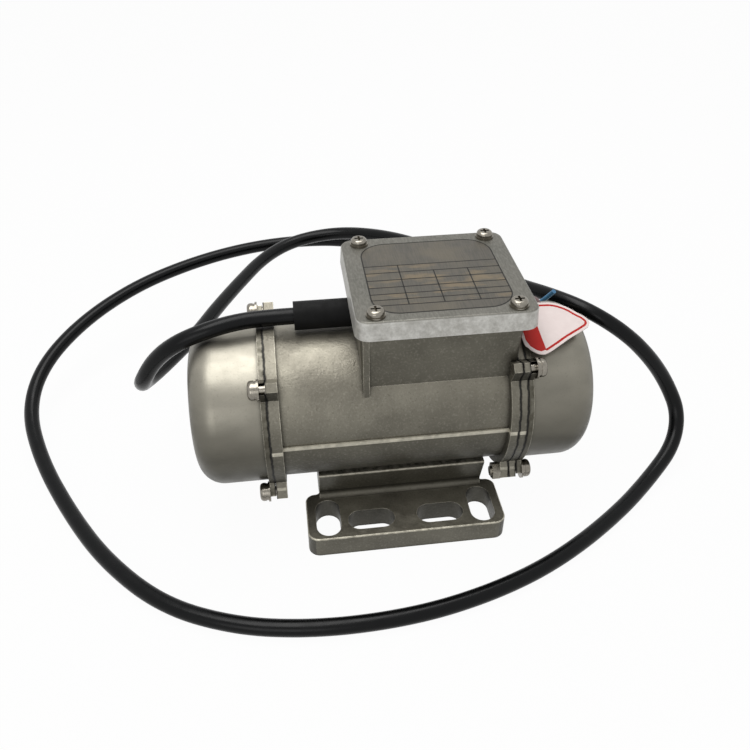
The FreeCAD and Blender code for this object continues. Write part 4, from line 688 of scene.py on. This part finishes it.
def make_tag():
    """A rounded card with a thin red line inside its edge and a red field at its lower corner."""
    paper = printed("tag_paper", paint(216, 202, 199), paint(228, 216, 213), grain=4, roughness=0.65,
                    gloss=0.2)
    outline = [on_tag(u, v) for u, v in rounded_through(TAG_OUTLINE)]
    card = sheet_piece("tag_card", outline, TAG_CARD * MM, paper, TAG_OUT)
    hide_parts("hang_tag")
    ink = printed("tag_ink", paint(164, 32, 28), paint(182, 42, 36), grain=3, roughness=0.6,
                  gloss=0.15)
    lift = TAG_CARD + INK_GAP
    field = [on_tag(u, v, lift) for u, v in RED_FIELD]
    sheet_piece("tag_red_field", field, INK_THICK * MM, ink, TAG_OUT)
    line = rounded_through(shifted(TAG_OUTLINE, RED_INSET)[:RED_POINTS], closed=False)
    sides = [shifted(line, reach, closed=False) for reach in (-RED_WIDTH / 2, RED_WIDTH / 2)]
    thick = TAG_OUT * INK_THICK * MM
    made = bmesh.new()
    sections = []
    for outer, inner in zip(*sides):
        a, b = on_tag(*outer, lift), on_tag(*inner, lift)
        sections.append([made.verts.new(place) for place in (a, a + thick, b + thick, b)])
    strip(made, sections)
    piece_from(made, "tag_red_line", ink)


def background_rays(tree):
    """1 for the rays that see the white background: from the camera, in gloss and through glass."""
    path = tree.nodes.new("ShaderNodeLightPath")
    seen = path.outputs["Is Camera Ray"]
    for kind in ("Is Glossy Ray", "Is Transmission Ray"):
        either = tree.nodes.new("ShaderNodeMath")
        either.operation = "MAXIMUM"
        tree.links.new(seen, either.inputs[0])
        tree.links.new(path.outputs[kind], either.inputs[1])
        seen = either.outputs[0]
    return seen


def blended(tree, share, first, second):
    """The first shader where share is 0, and the second where it is 1."""
    blend = tree.nodes.new("ShaderNodeMixShader")
    for source, target in zip((share, first, second), blend.inputs):
        tree.links.new(source, target)
    return blend.outputs["Shader"]


# Share of plain white in the floor as the camera sees it; the rest is lit and takes the shadow
FLOOR_WHITE = 0.965
FLOOR_HALF = 6


def make_floor():
    mesh = bpy.data.meshes.new("floor")
    made = bmesh.new()
    bmesh.ops.create_grid(made, x_segments=1, y_segments=1, size=FLOOR_HALF)
    made.to_mesh(mesh)
    made.free()
    floor = bpy.data.objects.new("floor", mesh)
    bpy.context.scene.collection.objects.link(floor)
    surface = Surface("floor_paper", roughness=0.85)
    surface.ground(surface.noise(grain=400), paint(206, 206, 205), paint(212, 212, 211))
    seen = surface.times(background_rays(surface.tree), FLOOR_WHITE)
    white = surface.node("ShaderNodeEmission").outputs["Emission"]
    shader = blended(surface.tree, seen, surface.shader.outputs["BSDF"], white)
    surface.join(shader, surface.tree.nodes["Material Output"].inputs["Surface"])
    floor.data.materials.append(surface.done())


# Strengths of the world: as light on the object, and as the background
SOFT_LIGHT = 0.35
PLAIN_WHITE = 1.0


def make_world():
    world = bpy.data.worlds.new("studio")
    bpy.context.scene.world = world
    world.use_nodes = True
    tree = world.node_tree
    tree.nodes.clear()
    shades = []
    for strength in (SOFT_LIGHT, PLAIN_WHITE):
        shade = tree.nodes.new("ShaderNodeBackground")
        shade.inputs["Color"].default_value = (1, 1, 1, 1)
        shade.inputs["Strength"].default_value = strength
        shades.append(shade.outputs["Background"])
    out = tree.nodes.new("ShaderNodeOutputWorld")
    tree.links.new(blended(tree, background_rays(tree), *shades), out.inputs["Surface"])


# Each lamp's name, place and size in metres, watts and colour
LAMPS = [("key", (-0.1, 0.08, 0.95), (1.0, 0.5), 7.5, (1, 0.995, 0.985)),
         ("fill", (-0.35, -0.8, 0.35), (0.5, 0.4), 1.2, (1, 1, 1))]
LAMPS_AIM = (0, 0, 0.06)


def make_lights():
    for name, place, size, watts, colour in LAMPS:
        data = bpy.data.lights.new(name, "AREA")
        data.shape = "RECTANGLE"
        data.size, data.size_y = size
        data.energy = watts
        data.color = colour
        light = bpy.data.objects.new(name, data)
        light.location = place
        light.rotation_euler = (Vector(LAMPS_AIM) - Vector(place)).to_track_quat("-Z", "Y").to_euler()
        bpy.context.scene.collection.objects.link(light)


make_camera()
make_cords()
dress_metal()
dress_rest()
make_plate()
make_tag()
make_floor()
make_world()
make_lights()
bpy.context.scene.view_settings.view_transform = "Standard"
